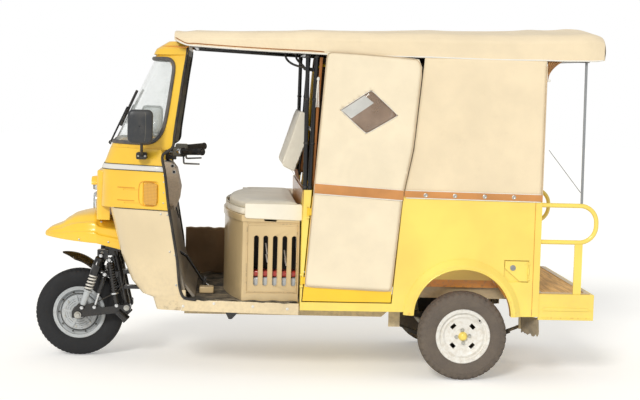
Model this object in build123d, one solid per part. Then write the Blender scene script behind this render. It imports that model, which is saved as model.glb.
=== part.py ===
from build123d import *
import math
import os

# An auto rickshaw: one steered front wheel, two rear wheels, an open driver's cab over the engine,
# a canvas-topped passenger cabin and a railed rear platform.
# Units are millimetres.  Stations (X) are measured rearwards from the rear axle, heights (Z) from the
# ground, and the vehicle's left side is at -Y.  Everything is moved by ORIGIN_SHIFT when written, so
# that the origin lies on the ground midway between the front tyre and the rear rails.

# --- running gear ---------------------------------------------------------------------------------
WHEELBASE = 2060.0
REAR_TRACK = 1108.0
FRONT_TYRE_OD = 484.0
REAR_TYRE_OD = 472.0
TYRE_WIDTH = 114.0
RIM_OD = 284.0
RIM_LIP = 10.0
RIM_SEAT_HALF = 45.0
RIM_SHEET = 6.0
HUB_R = 44.0
AXLE_R = 17.0
DRUM_R = 98.0
DRUM_WIDTH = 46.0

# --- clearances and sheet -------------------------------------------------------------------------
SEAT_GAP = 0.3
HUB_CLEARANCE = 0.05
SHELL = 22.0
WALL = 24.0
SHEET = 14.0
OVERRUN = 60.0

# --- body -----------------------------------------------------------------------------------------
BODY_HALF = 612.0
TRIM_IN = 6.0
FLARE_OUT = 26.0
SILL_Z = 336.0
SILL_TOP_Z = 405.0
FLOOR_Z = 396.0
FLOOR_THICK = 22.0
BODY_BOTTOM_Z = 362.0
QUARTER_TOP_Z = 972.0
PILLAR_TOP_Z = 992.0
QUARTER_REAR_X = 394.0
BULKHEAD_X = -866.0
DECK_Z = 470.0
DECK_REAR_X = 690.0
DECK_THICK = 20.0
BUMPER_BOTTOM_Z = 332.0
ARCH_X = -13.0
ARCH_Z = 338.0
ARCH_R = 258.0
ARCH_BAND = 52.0
WELL_HALF_LENGTH = 330.0
WELL_TOP_Z = 634.0

# --- nose and cab ---------------------------------------------------------------------------------
NOSE_X = 105.0 - WHEELBASE
NOSE_REAR_HALF = BODY_HALF - 67
NOSE_GAP_HALF = 262.0
APRON_TOP_Z = 862.0
COWL_TOP_Z = 1178.0
CAB_TOP_Z = 1745.0
FIREWALL_X = NOSE_X + 315
NACELLE_HALF = 300.0
NACELLE_LOW_Z = 784.0
NACELLE_TOP_Z = 1050.0
SCREEN_SILL_Z = 1206.0
SCREEN_TOP_Z = 1652.0
GLASS = 6.0

# --- steering -------------------------------------------------------------------------------------
HEAD_X = 176.0 - WHEELBASE
HEAD_Z = 596.0
RAKE = 31.0
FORK_HALF = 92.0
LEG_R = 21.0
STEM_R = 15.0
HEAD_R = 30.0
BAR_X = HEAD_X + 324
BAR_Z = 1130.0
GRIP_Y = 330.0

# --- doors ----------------------------------------------------------------------------------------
HINGE_FOOT = (-868.0, 370.0)
HINGE_HEAD = (-775.0, 1713.0)
HINGE_OUT = 9.0
HINGE_PIN_R = 4.0
DOOR_GAP = 6.0
DOOR_FRONT = 12.0
DOOR_SKIN = 6.0
DOOR_THICK = 20.0
DOOR_HINGES = (520.0, 880.0)
CANVAS_TOP_Z = 1708.0

# --- roof -----------------------------------------------------------------------------------------
CANOPY_FRONT_X = NOSE_X + 407
CANOPY_REAR_X = 698.0
FABRIC = 8.0
RAIL_TUBE_R = 12.0
RAIL_REAR_X = 700.0
RAIL_TOP_Z = 940.0
RAIL_LOW_Z = 746.0
ROOF_TUBE_R = 12.0
STRINGER_R = 14.0
STRINGER_IN = 40.0
HOOP_Z = 1704.0
POST_R = 11.0

# --- worked out from the sizes above --------------------------------------------------------------
FRONT_R = FRONT_TYRE_OD / 2
REAR_R = REAR_TYRE_OD / 2
FRONT_AXLE_X = -WHEELBASE
HALF_TRACK = REAR_TRACK / 2
TRIM_HALF = BODY_HALF - TRIM_IN
STRINGER_Y = BODY_HALF - STRINGER_IN
HINGE_Y = -BODY_HALF - HINGE_OUT
ORIGIN_SHIFT = (WHEELBASE + FRONT_R - RAIL_REAR_X) / 2
RAKE_SLOPE = math.tan(math.radians(RAKE))

parts = {}


# --- small helpers --------------------------------------------------------------------------------
def block(x, y, z):
    """A box given by its (low, high) pairs along each axis."""
    size = [high - low for low, high in (x, y, z)]
    centre = [(low + high) / 2 for low, high in (x, y, z)]
    return Pos(*centre) * Box(*size)


def around(centre, half):
    """The (low, high) pair that lies half each side of a value."""
    return (centre - half, centre + half)


def side_plate(points, y_out, y_in, corner=0.0):
    """A plate with an X-Z outline, from -y_out to -y_in on the left side."""
    face = Plane.XZ * make_face(Polyline(*points, close=True))
    if corner:
        face = fillet(face.vertices(), corner)
    return Pos(0, -y_in, 0) * extrude(face, y_out - y_in)


def mirrored(shape):
    return mirror(shape, about=Plane.XZ)


def pair(shape):
    return [shape, mirrored(shape)]


def joined(shapes):
    """All the shapes fused into one."""
    whole = shapes[0]
    for shape in shapes[1:]:
        whole = whole + shape
    return whole


def rod(start, end, radius):
    """A round bar between two points."""
    line = Vector(*end) - Vector(*start)
    return Plane(origin=start, z_dir=line) * Cylinder(
        radius, line.length, align=(Align.CENTER, Align.CENTER, Align.MIN))


def tube(points, bend, radius):
    """A round tube along straight runs joined by bends."""
    path = FilletPolyline(*points, radius=bend)
    return sweep(Plane(origin=path @ 0, z_dir=path % 0) * Circle(radius), path=path)


def disc(centre, radius, y_from, y_to):
    """A round plate or boss about a line along Y."""
    x, z = centre
    middle = (y_from + y_to) / 2
    return Pos(x, middle, z) * Rot(90, 0, 0) * Cylinder(radius, abs(y_to - y_from))


def turned(profile, centre):
    """A solid turned about a line along Y; the profile is (radius, y) points."""
    face = make_face(Polyline(*[(r, y, 0) for r, y in profile], close=True))
    return Pos(*centre) * revolve(face, Axis.Y, 360)


def lofted(sections, inset=0.0):
    """A shell form through level sections: z, front x, front half, rear x, rear half, corner radius."""
    faces = []
    for z, x_front, half_front, x_rear, half_rear, corner in sections:
        taper = inset * 0.6
        outline = [(x_front + inset, -half_front + taper), (x_rear, -half_rear + inset),
                   (x_rear, half_rear - inset), (x_front + inset, half_front - taper)]
        face = make_face(Polyline(*outline, close=True))
        front = face.vertices().sort_by(Axis.X)[:2]
        faces.append(Pos(0, 0, z) * fillet(front, corner))
    return loft(faces, ruled=True)


def on_steering_axis(z):
    return (HEAD_X + (z - HEAD_Z) * RAKE_SLOPE, 0, z)


# --- wheels ---------------------------------------------------------------------------------------
WINDOW_RING = 72.0
WINDOW = (30.0, 20.0)
DISC_THICK = 8.0
CAP_R = 19.0
CAP_OUT = 16.0
bore_r = AXLE_R + HUB_CLEARANCE


def tyre(centre, radius):
    """A tyre: flat tread, round shoulders, walls down to the rim seat."""
    half = TYRE_WIDTH / 2
    seat = RIM_OD / 2 - RIM_LIP + SEAT_GAP
    bead = RIM_OD / 2 + 2
    outer = [(bead, RIM_SEAT_HALF), (bead + 24, half), (radius - 44, half), (radius - 6, half - 18)]
    profile = [(seat, -RIM_SEAT_HALF)] + [(r, -y) for r, y in outer] + [(radius, 0)]
    profile += list(reversed(outer)) + [(seat, RIM_SEAT_HALF)]
    return turned(profile, centre)


def rim(centre, side, dish):
    """A pressed rim with its lip, well, disc and hub.  side is -1 for a disc that faces -Y."""
    half = RIM_SEAT_HALF + SEAT_GAP
    lip = RIM_OD / 2
    seat = lip - RIM_LIP
    inner = seat - RIM_SHEET
    ring = turned([(seat, -half), (lip, -half), (lip, -half - 5), (inner, -half - 5),
                   (inner, half + 5), (lip, half + 5), (lip, half), (seat, half)], centre)
    x, y, z = centre
    face = y + side * dish
    plate = disc((x, z), seat - 1, face, face - side * DISC_THICK)
    bead = turned([(inner - 8, side * dish), (inner - 20, side * (dish + 7)), (inner - 32, side * dish)],
                  centre)
    hub = disc((x, z), HUB_R, y - side * 30, y + side * (dish + 6))
    bore = disc((x, z), bore_r, y - 80, y + 80)
    return ring + plate + bead + hub - bore


# column meaning: node ending, side of the disc, how far the disc's face lies from the wheel's middle
REAR_WHEELS = (("left", -1, 34.0), ("right", 1, 34.0))
for hand, side, dish in REAR_WHEELS:
    centre = (0, side * HALF_TRACK, REAR_R)
    windows = []
    for turn in range(45, 360, 90):
        a = math.radians(turn)
        spot = Pos(WINDOW_RING * math.cos(a), centre[1], centre[2] + WINDOW_RING * math.sin(a))
        windows.append(spot * Rot(0, -turn, 0) * Box(WINDOW[1], TYRE_WIDTH, WINDOW[0]))
    parts[f"rear_tyre_{hand}"] = tyre(centre, REAR_R)
    parts[f"rear_rim_{hand}"] = rim(centre, side, dish) - windows

front_centre = (FRONT_AXLE_X, 0, FRONT_R)
parts["front_tyre"] = tyre(front_centre, FRONT_R)
parts["front_rim"] = rim(front_centre, -1, 20.0)

# --- fork, arms, shock absorbers ------------------------------------------------------------------
PIVOT = (HEAD_X + 89, HEAD_Z - 312)
ARM_Y = FORK_HALF + 33
ARM_HALF = 12.0
EYE_R = 14.0
BOSS_R = 24.0
stem_top = on_steering_axis(BAR_Z - 30)
stem = rod(on_steering_axis(HEAD_Z + 14), stem_top, STEM_R)
crown = block(around(HEAD_X, 34), around(0, FORK_HALF + 20), (HEAD_Z - 26, HEAD_Z + 22))
leg = rod((HEAD_X + 18, -FORK_HALF, HEAD_Z), (PIVOT[0], -FORK_HALF, PIVOT[1]), LEG_R)
horn_y = (-ARM_Y - ARM_HALF, -FORK_HALF + 12)
horn = block((HEAD_X - 74, HEAD_X - 20), horn_y, (HEAD_Z - 44, HEAD_Z + 6))
horn += block((HEAD_X - 46, HEAD_X + 42), horn_y, (HEAD_Z - 142, HEAD_Z - 112))
link_eye = disc(PIVOT, BOSS_R, -ARM_Y + ARM_HALF + SEAT_GAP, -FORK_HALF + 16)
parts["fork"] = stem + crown + pair(leg + horn + link_eye)

# column meaning: foot x, foot z, head x, head z, sleeve radius, rod radius, where the sleeve starts
SHOCKS = (
    (FRONT_AXLE_X + 22, FRONT_R + 43, HEAD_X - 54, HEAD_Z - 23, 24.0, 13.0, 0.30),
    (FRONT_AXLE_X + 91, FRONT_R + 47, HEAD_X - 31, HEAD_Z - 126, 12.0, 7.0, 0.42),
    (PIVOT[0] - 53, PIVOT[1] + 16, HEAD_X - 8, HEAD_Z - 46, 17.0, 13.0, 0.26),
)
arm_outline = [(FRONT_AXLE_X - 34, FRONT_R - 20), (FRONT_AXLE_X - 34, FRONT_R + 18),
               (FRONT_AXLE_X + 2, FRONT_R + 62),
               (FRONT_AXLE_X + 106, FRONT_R + 62), (FRONT_AXLE_X + 126, FRONT_R + 42),
               (PIVOT[0] + 22, PIVOT[1] + 22), (PIVOT[0] + 22, PIVOT[1] - 20)]
arm = side_plate(arm_outline, ARM_Y + ARM_HALF, ARM_Y - ARM_HALF, 9)
arm += rod((PIVOT[0] - 48, -ARM_Y, PIVOT[1] - 20), (PIVOT[0] + 2, -ARM_Y, PIVOT[1] - 68), BOSS_R)
axle = disc((FRONT_AXLE_X, FRONT_R), AXLE_R, -ARM_Y - 24, ARM_Y + 24)
shock_y = ARM_Y + ARM_HALF + SEAT_GAP + EYE_R
eye_y = around(-shock_y, EYE_R)
shocks = []
for foot_x, foot_z, head_x, head_z, thick, thin, start in SHOCKS:
    arm += disc((foot_x, foot_z), EYE_R + 2, *around(-ARM_Y, ARM_HALF))
    low = (foot_x, -shock_y, foot_z)
    top = (head_x, -shock_y, head_z)
    along = [tuple(a + share * (b - a) for a, b in zip(low, top)) for share in (start, 0.94)]
    strut = rod(low, top, thin) + rod(*along, thick)
    for x, z in ((foot_x, foot_z), (head_x, head_z)):
        strut += disc((x, z), EYE_R, *eye_y)
    inward = block((foot_x - 300, head_x + 300), (eye_y[1], 0), (foot_z - 200, head_z + 200))
    shocks += pair(strut - inward)
parts["fork_arms"] = arm + mirrored(arm) + axle
parts["shock_absorbers"] = shocks

# The small mudguard over the front tyre is a curved blade with turned-down edges, held between the legs.
BLADE_R = 242.0
BLADE_HALF = 56.0
BLADE_SHEET = 5.0
blade_x = FRONT_AXLE_X - 73
blade_z = FRONT_R + 94
# column meaning: how far in from the blade's top, share of its half width
blade_line = [(0, 0.5), (12, 0.88), (36, 1.0)]
blade_outer = [(BLADE_R - fall, share * BLADE_HALF) for fall, share in blade_line]
blade_inner = [(r - BLADE_SHEET, y - BLADE_SHEET * 0.7) for r, y in blade_outer]
half_section = blade_outer + list(reversed(blade_inner))
blade_section = [(r, -y) for r, y in reversed(blade_outer)] + half_section
blade_section += [(r, -y) for r, y in blade_inner]
blade = turned(blade_section, (blade_x, 0, blade_z))
blade_reach = (198.0, 139.0)
keep = side_plate([(blade_x, blade_z), (blade_x - 36, blade_z + 300), (blade_x + 260, blade_z + 300),
                   (blade_x + blade_reach[0] * 1.3, blade_z + blade_reach[1] * 1.3)], 70, -70)
stay_half = FORK_HALF - 16
stay_z = blade_z + blade_reach[1] + 2
stay = block((HEAD_X - 62, HEAD_X + 52), around(0, stay_half), (stay_z, stay_z + 12))
parts["hugger"] = (blade & keep) + stay - pair(leg)

# --- handlebar ------------------------------------------------------------------------------------
BAR_R = 11.0
BAR_RISE = 26.0
bar_end = (BAR_X + 60, -GRIP_Y + 100, BAR_Z + BAR_RISE)
grip_end = (BAR_X + 168, -GRIP_Y - 10, BAR_Z + BAR_RISE + 8)
bar = tube([bar_end, (BAR_X - 6, -150, BAR_Z + 12), (BAR_X - 14, 0, BAR_Z), (BAR_X - 6, 150, BAR_Z + 12),
            (bar_end[0], -bar_end[1], bar_end[2])], 60, BAR_R)
grip = rod(bar_end, grip_end, 17)
switch = Pos(BAR_X + 40, -GRIP_Y + 130, BAR_Z + 24) * fillet(Box(70, 60, 52).edges(), 9)
clamp = Pos(BAR_X - 12, 0, BAR_Z) * Box(60, 70, 56)
lever_base = (BAR_X + 62, -GRIP_Y + 106, BAR_Z + 16)
lever_tip = (BAR_X + 150, -GRIP_Y + 20, BAR_Z - 34)
lever = tube([lever_base, (BAR_X + 66, -GRIP_Y + 78, BAR_Z - 36), lever_tip], 12, 5)
parts["handlebar"] = bar + clamp + pair(grip + switch + lever) - stem

# --- nose apron, dash and firewall ----------------------------------------------------------------
# column meaning: z, front x, front half width, rear x, rear half width, corner radius
apron_levels = [
    (SILL_Z, NOSE_X + 340, 497, NOSE_X + 469, NOSE_REAR_HALF - 18, 40),
    (SILL_Z + 62, NOSE_X + 320, 497, NOSE_X + 462, NOSE_REAR_HALF - 14, 50),
    (SILL_Z + 78, NOSE_X + 262, 484, NOSE_X + 460, NOSE_REAR_HALF - 13, 80),
    (SILL_Z + 139, NOSE_X + 203, 452, NOSE_X + 455, NOSE_REAR_HALF - 10, 110),
    (SILL_Z + 276, NOSE_X + 141, 415, NOSE_X + 441, NOSE_REAR_HALF - 6, 120),
    (APRON_TOP_Z, NOSE_X + 75, 390, NOSE_X + 397, NOSE_REAR_HALF, 120),
]
fork_room = block((NOSE_X - 400, FIREWALL_X + 140), around(0, NOSE_GAP_HALF),
                  (SILL_Z - 50, APRON_TOP_Z - OVERRUN))
parts["nose_apron"] = lofted(apron_levels) - lofted(apron_levels, SHELL) - fork_room

WALL_SHEET = 20.0
PANEL_HALF = NOSE_REAR_HALF - 25
firewall = block((FIREWALL_X - WALL_SHEET, FIREWALL_X), around(0, PANEL_HALF), (FLOOR_Z, APRON_TOP_Z - 20))
cover_x = FIREWALL_X - 10
cover_outline = [(cover_x, APRON_TOP_Z - 68), (FIREWALL_X + 86, APRON_TOP_Z - 62),
                 (FIREWALL_X + 120, APRON_TOP_Z + 20),
                 (FIREWALL_X + 128, APRON_TOP_Z + 86), (FIREWALL_X + 104, APRON_TOP_Z + 190),
                 (FIREWALL_X + 76, APRON_TOP_Z + 226), (cover_x, APRON_TOP_Z + 230)]
column_cover = side_plate(cover_outline, 118, -118, 12)
toe_line = [(FIREWALL_X + 92, APRON_TOP_Z - 8), (FIREWALL_X + 106, 740), (FIREWALL_X + 132, 600),
            (FIREWALL_X + 168, 480), (FIREWALL_X + 226, FLOOR_Z + 12)]
toe_under = [(x - 14, z - 4) for x, z in reversed(toe_line)]
toe_board = side_plate(toe_line + toe_under, PANEL_HALF - 30, -PANEL_HALF + 30)
toe_rib = block((FIREWALL_X - 2, FIREWALL_X + 104), around(0, 8), (FLOOR_Z + 200, FLOOR_Z + 240))
neck_route = [
    (FIREWALL_X + 200, 0, 346), (FIREWALL_X + 34, 0, 352), (FIREWALL_X - 95, 0, 412),
    on_steering_axis(HEAD_Z + 104),
]
neck_room = tube(neck_route, 60, 24)
stem_room = rod(on_steering_axis(HEAD_Z), on_steering_axis(COWL_TOP_Z + OVERRUN), HEAD_R + 5)
dash = (firewall & lofted(apron_levels, SHELL + SEAT_GAP)) + column_cover + toe_board + toe_rib
parts["dash_panel"] = dash - stem_room - neck_room

# --- cowl with its nacelle ------------------------------------------------------------------------
cowl_levels = [
    (APRON_TOP_Z + SEAT_GAP, NOSE_X + 25, 360, NOSE_X + 395, NOSE_REAR_HALF, 130),
    (NACELLE_TOP_Z + 15, NOSE_X + 29, 350, NOSE_X + 369, NOSE_REAR_HALF - 2, 130),
    (COWL_TOP_Z, NOSE_X + 70, 330, NOSE_X + 351, NOSE_REAR_HALF - 6, 130),
]
nacelle = block((NOSE_X, NOSE_X + 72), around(0, NACELLE_HALF), (NACELLE_LOW_Z, NACELLE_TOP_Z))
nacelle = fillet(nacelle.edges().filter_by(Axis.Z).group_by(Axis.X)[0], 34)
nacelle = fillet(nacelle.edges().group_by(Axis.Z)[-1], 10)
cowl = lofted(cowl_levels) - lofted(cowl_levels, SHELL)
cowl += nacelle - lofted(cowl_levels, SHELL)

def on_flank(along, z):
    """A place on the left flank of the cowl, so far forward of its rear edge; -Y points outwards."""
    low, high = cowl_levels[0], cowl_levels[1]
    share = (z - low[0]) / (high[0] - low[0])
    x_front, half_front, x_rear, half_rear = [a + share * (b - a) for a, b in zip(low[1:5], high[1:5])]
    turn = math.degrees(math.atan2(half_rear - half_front, x_rear - x_front))
    return Pos(x_rear, -half_rear, z) * Rot(0, 0, -turn) * Pos(-along, 0, 0)


LAMP_ALONG = 96.0
LAMP_Z = 944.0
RECESS = (98.0, 134.0)
RECESS_DEPTH = 6.0
LENS = (78.0, 112.0)
LENS_OUT = 7.0
GROOVE = (92.0, 8.0)
GROOVE_DEPTH = 3.0
lamp_spot = on_flank(LAMP_ALONG, LAMP_Z)
recess = fillet(Box(RECESS[0], 2 * RECESS_DEPTH, RECESS[1]).edges().filter_by(Axis.Y), 16)
cowl -= pair(lamp_spot * recess)
for z in (LAMP_Z + 16, LAMP_Z - 54):
    cowl -= pair(on_flank(LAMP_ALONG + 120, z) * Box(GROOVE[0], 2 * GROOVE_DEPTH, GROOVE[1]))
parts["cowl"] = cowl

lens_y = (-LENS_OUT, RECESS_DEPTH - SEAT_GAP)
lens = Pos(0, sum(lens_y) / 2, 0) * fillet(Box(LENS[0], lens_y[1] - lens_y[0],
                                               LENS[1]).edges().filter_by(Axis.Y), 14)
lens = lamp_spot * lens
LAMP_Y = 190.0
# column meaning: height, radius, how far the lens stands out
HEADLAMPS = ((966, 34, 26), (878, 50, 22))
lamps = []
for z, r, out in HEADLAMPS:
    lamps.append(Pos(NOSE_X - SEAT_GAP - out / 2, -LAMP_Y, z) * Rot(0, -90, 0) * Cone(r, r - 7, out))
parts["headlamps"] = [shape for lamp in lamps for shape in pair(lamp)]
TAIL_LAMP = (120.0, 50.0)
tail_z = (BUMPER_BOTTOM_Z + DECK_Z) / 2 + 19
tail_lamp = block((DECK_REAR_X, DECK_REAR_X + 10), around(-TRIM_HALF + 126, TAIL_LAMP[0] / 2),
                  around(tail_z, TAIL_LAMP[1] / 2))
parts["signal_lamps"] = pair(lens) + pair(tail_lamp)

# --- cab frame and windscreen ---------------------------------------------------------------------
cab_levels = [
    (COWL_TOP_Z + SEAT_GAP, NOSE_X + 70, 330, NOSE_X + 405, NOSE_REAR_HALF - 6, 130),
    (SCREEN_TOP_Z, NOSE_X + 291, 330, NOSE_X + 467, NOSE_REAR_HALF - 46, 110),
    (CAB_TOP_Z - SHELL, NOSE_X + 345, 330, NOSE_X + 482, NOSE_REAR_HALF - 70, 90),
]
header_levels = [
    (SCREEN_TOP_Z + 22, NOSE_X + 292, 336, NOSE_X + 474, NOSE_REAR_HALF - 46, 100),
    (SCREEN_TOP_Z + 52, NOSE_X + 306, 336, NOSE_X + 480, NOSE_REAR_HALF - 56, 100),
    (CAB_TOP_Z, NOSE_X + 372, 330, NOSE_X + 486, NOSE_REAR_HALF - 86, 90),
]
screen_corner_x = NOSE_X + 355
screen_cut = side_plate(
    [(NOSE_X - OVERRUN, SCREEN_SILL_Z), (screen_corner_x - 56, SCREEN_SILL_Z),
     (screen_corner_x + 2, SCREEN_SILL_Z + 80),
     (screen_corner_x + 50, SCREEN_TOP_Z - 60), (screen_corner_x + 20, SCREEN_TOP_Z),
     (NOSE_X - OVERRUN, SCREEN_TOP_Z)],
    BODY_HALF, -BODY_HALF)
cab = lofted(cab_levels) + lofted(header_levels) - lofted(cab_levels, SHELL)
parts["cab_frame"] = cab - screen_cut
GLASS_IN = 7.0
parts["windscreen"] = (lofted(cab_levels, GLASS_IN) - lofted(cab_levels, GLASS_IN + GLASS)) & screen_cut

MIRROR = (112.0, 44.0, 168.0)
MIRROR_AT = (NOSE_X + 245, -BODY_HALF - 14, 1300.0)
mirror_foot = (MIRROR_AT[0] + 4, -NOSE_REAR_HALF + 70, 1146)
mirror_arm = rod((MIRROR_AT[0], MIRROR_AT[1] + 10, MIRROR_AT[2] - 70), mirror_foot, 9)
mirror_arm += Pos(MIRROR_AT[0] + 4, -NOSE_REAR_HALF + 60, 1144) * Box(54, 40, 36)
mirror_arm -= lofted(cowl_levels, -SEAT_GAP)
mirror_arm -= lofted(cab_levels, -SEAT_GAP)
head = fillet(Box(*MIRROR).edges(), 15)
parts["mirrors"] = pair(Pos(*MIRROR_AT) * head + mirror_arm)

# --- front mudguard beak --------------------------------------------------------------------------
BEAK_WALL = 12.0
BEAK_TIP_X = NOSE_X - 301
# column meaning: x, half width, rim height, crown height, depth of the two steps in the flank
beak_nose = [
    (BEAK_TIP_X, 55, 672, 688, 0.5),
    (NOSE_X - 205, 150, 664, 740, 5),
    (NOSE_X - 111, 225, 660, 796, 11),
    (NOSE_X - SEAT_GAP, 262, 654, 818, 16),
]
beak_tail = [
    (NOSE_X - SEAT_GAP, 262, 654, NACELLE_LOW_Z - SEAT_GAP, 12),
    (FIREWALL_X - 140, 258, 612, NACELLE_LOW_Z - 30, 12),
]


def beak_loft(stations, wall):
    """The mudguard's form through cross sections, or its hollow when a wall is given."""
    faces = []
    for x, half, rim_z, crown_z, step in stations:
        low = rim_z - wall * 4
        top = crown_z - wall
        w = half - wall
        rise = (top - rim_z) / 3
        flank = [(w, low), (w, rim_z + rise), (w - step, rim_z + rise + 3),
                 (w - step * 1.6, rim_z + rise * 2),
                 (w - step * 2.8, rim_z + rise * 2 + 3), (w * 0.62, top)]
        outline = flank + [(-y, z) for y, z in reversed(flank)]
        front_wall = wall if x == BEAK_TIP_X else 0
        plane = Plane(origin=(x + front_wall, 0, 0), x_dir=(0, 1, 0), z_dir=(1, 0, 0))
        faces.append(plane * make_face(Polyline(*outline, close=True)))
    return loft(faces, ruled=True)


beak = beak_loft(beak_nose, 0) + beak_loft(beak_tail, 0)
beak -= beak_loft(beak_nose, BEAK_WALL) + beak_loft(beak_tail, BEAK_WALL)
parts["front_mudguard"] = beak - lofted(apron_levels, -SEAT_GAP)

# --- floor and sills ------------------------------------------------------------------------------
floor_front_x = NOSE_X + 471
floor_rear_x = BULKHEAD_X - TRIM_IN
floor_plan = [(floor_front_x, -NOSE_REAR_HALF + 4), (floor_rear_x, -BODY_HALF + 2),
              (floor_rear_x, BODY_HALF - 2), (floor_front_x, NOSE_REAR_HALF - 4)]
inner_plan = [(floor_front_x - 6, -NOSE_REAR_HALF + 24), (floor_rear_x + 12, -BODY_HALF + 22),
              (floor_rear_x + 12, BODY_HALF - 22), (floor_front_x - 6, NOSE_REAR_HALF - 24)]
floor_pan = Pos(0, 0, SILL_Z) * extrude(make_face(Polyline(*floor_plan, close=True)), FLOOR_Z - SILL_Z)
under = Pos(0, 0, SILL_Z - 1) * extrude(make_face(Polyline(*inner_plan, close=True)),
                                        FLOOR_Z - SILL_Z - FLOOR_THICK + 1)
HOOK_X = -1229.0
hook_outline = [(HOOK_X - 32, SILL_Z + 14), (HOOK_X - 6, SILL_Z - 38), (HOOK_X + 10, SILL_Z - 38),
                (HOOK_X + 57, SILL_Z + 14)]
hook_share = (HOOK_X - floor_front_x) / (floor_rear_x - floor_front_x)
hook_y = NOSE_REAR_HALF - 22 + hook_share * (BODY_HALF - NOSE_REAR_HALF)
bracket = side_plate(hook_outline, hook_y, hook_y - 12)
parts["cab_floor"] = floor_pan - under + pair(bracket)

# --- seat box, engine, driver's seat --------------------------------------------------------------
BOX_BOW_X = -1266.0
BOX_CORNER_X = -1171.0
BOX_REAR_X = BULKHEAD_X - 8
BOX_HALF = BODY_HALF - 60
BOX_TOP_Z = 850.0
BOX_LIP = (7.0, 34.0)
SLOT_X = (-1099, -1050, -1000, -950, -901)
SLOT_Z = (478, 744)
SLOT_WIDTH = 26.0
CUSHION_TOP_Z = 918.0


def bowed_slab(grow, rear_x, low, high):
    """A slab whose plan has a bowed front, widened by grow."""
    half = BOX_HALF + grow
    corner = (BOX_CORNER_X - grow, half)
    bow = ThreePointArc((corner[0], -half), (BOX_BOW_X - grow, 0), corner)
    sides = Polyline(corner, (rear_x, half), (rear_x, -half), (corner[0], -half))
    return Pos(0, 0, low) * extrude(make_face(bow + sides), high - low)


box_low = FLOOR_Z + SEAT_GAP
seat_box = bowed_slab(0, BOX_REAR_X, box_low, BOX_TOP_Z)
seat_box += bowed_slab(BOX_LIP[0], BOX_REAR_X, BOX_TOP_Z - BOX_LIP[1], BOX_TOP_Z)
hollow = bowed_slab(-SHEET, BOX_REAR_X + OVERRUN, box_low - 1, BOX_TOP_Z - SHEET)
slot = extrude(Plane.XZ * SlotOverall(SLOT_Z[1] - SLOT_Z[0], SLOT_WIDTH, rotation=90), BOX_HALF + OVERRUN,
               both=True)
slots = [Pos(x, 0, sum(SLOT_Z) / 2) * slot for x in SLOT_X]
border = block((SLOT_X[0] - 44, SLOT_X[-1] + 26), (-BOX_HALF - 1, -BOX_HALF + 3),
               (SLOT_Z[0] - 40, SLOT_Z[1] + 52))
seat_box = seat_box - hollow - pair(border) - slots
parts["seat_box"] = seat_box
parts["engine"] = block((BOX_CORNER_X - 9, BOX_REAR_X - 26), around(0, 260), (box_low, BOX_TOP_Z - 150))
cushion = bowed_slab(-8, BOX_REAR_X + 4, BOX_TOP_Z + SEAT_GAP, CUSHION_TOP_Z)
parts["driver_seat"] = fillet(cushion.edges().group_by(Axis.Z)[-1], 22)

BACK_HALF = 280.0
BACK_OUTLINE = [(-866, 1407), (-826, 1386), (-833, 1215), (-892, 1053), (-969, 1082), (-973, 1106)]
parts["driver_backrest"] = side_plate(BACK_OUTLINE, BACK_HALF, -BACK_HALF, 8)

pedal_arm = rod((FIREWALL_X + 170, -120, 575), (FIREWALL_X + 274, -200, 436), 8)
pedal_arm += rod((FIREWALL_X + 172, -120, 575), (FIREWALL_X + 110, -120, 610), 8)
toe_room = side_plate([(x + SEAT_GAP, z) for x, z in toe_line] + toe_under, PANEL_HALF, -PANEL_HALF)
parts["pedals"] = pedal_arm - toe_room + Pos(FIREWALL_X + 274, -200, 444) * Box(14, 70, 60)

# --- chassis --------------------------------------------------------------------------------------
RAIL_Y = 430.0
RAIL_HALF_WIDE = 22.0
RAIL_HALF_TALL = 32.0
RAIL_LOW_MID = FLOOR_Z - FLOOR_THICK - RAIL_HALF_TALL
RAIL_KICK_Z = 450.0
RAIL_TAIL_Z = 400.0
FLAP_X = 364.0


def rail_plate(grow):
    """One side rail, kicked up over the rear axle; grow widens it all round."""
    path = [(FIREWALL_X + 170, RAIL_LOW_MID), (-420, RAIL_LOW_MID), (-300, RAIL_KICK_Z), (300, RAIL_KICK_Z),
            (420, RAIL_TAIL_Z), (650, RAIL_TAIL_Z)]
    tall = RAIL_HALF_TALL + grow
    lower = [(x, z - tall) for x, z in path]
    upper = [(x, z + tall) for x, z in reversed(path)]
    return side_plate(lower + upper, RAIL_Y + RAIL_HALF_WIDE + grow, RAIL_Y - RAIL_HALF_WIDE - grow)


SPRING_HALF = 352.0
SPRING_RISE = 80.0
BEAM_R = 32.0
SPRING_TOP_Z = REAR_R - BEAM_R - SEAT_GAP
EYE_Z = SPRING_TOP_Z + SPRING_RISE
CROSS_HALF = 24.0
rail = rail_plate(0)
# column meaning: station and height of each cross member
CROSS_MEMBERS = ((FIREWALL_X + 200, RAIL_LOW_MID), (-1160, RAIL_LOW_MID), (-895, RAIL_LOW_MID),
                 (-300, RAIL_KICK_Z),
                 (300, RAIL_KICK_Z), (630, RAIL_TAIL_Z))
cross = [block(around(x, 25), around(0, RAIL_Y), around(z, CROSS_HALF)) for x, z in CROSS_MEMBERS]
neck = tube(neck_route, 60, 20)
head_tube = rod(on_steering_axis(HEAD_Z + 44), on_steering_axis(HEAD_Z + 224), HEAD_R)
head_bore = rod(on_steering_axis(HEAD_Z), on_steering_axis(HEAD_Z + 300), STEM_R + HUB_CLEARANCE)
BRACE_R = 16.0
brace_x = FIREWALL_X - WALL_SHEET - BRACE_R - SEAT_GAP
brace = rod(on_steering_axis(HEAD_Z + 194), (brace_x, 0, 700), BRACE_R)
brace += rod((brace_x, 0, 700), (brace_x, 0, RAIL_LOW_MID + 28), BRACE_R)
brace += rod((brace_x, 0, 524), (brace_x - 90, 0, 530), BRACE_R)
chassis = joined([rail, mirrored(rail), *cross, neck, head_tube, brace])
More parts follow.
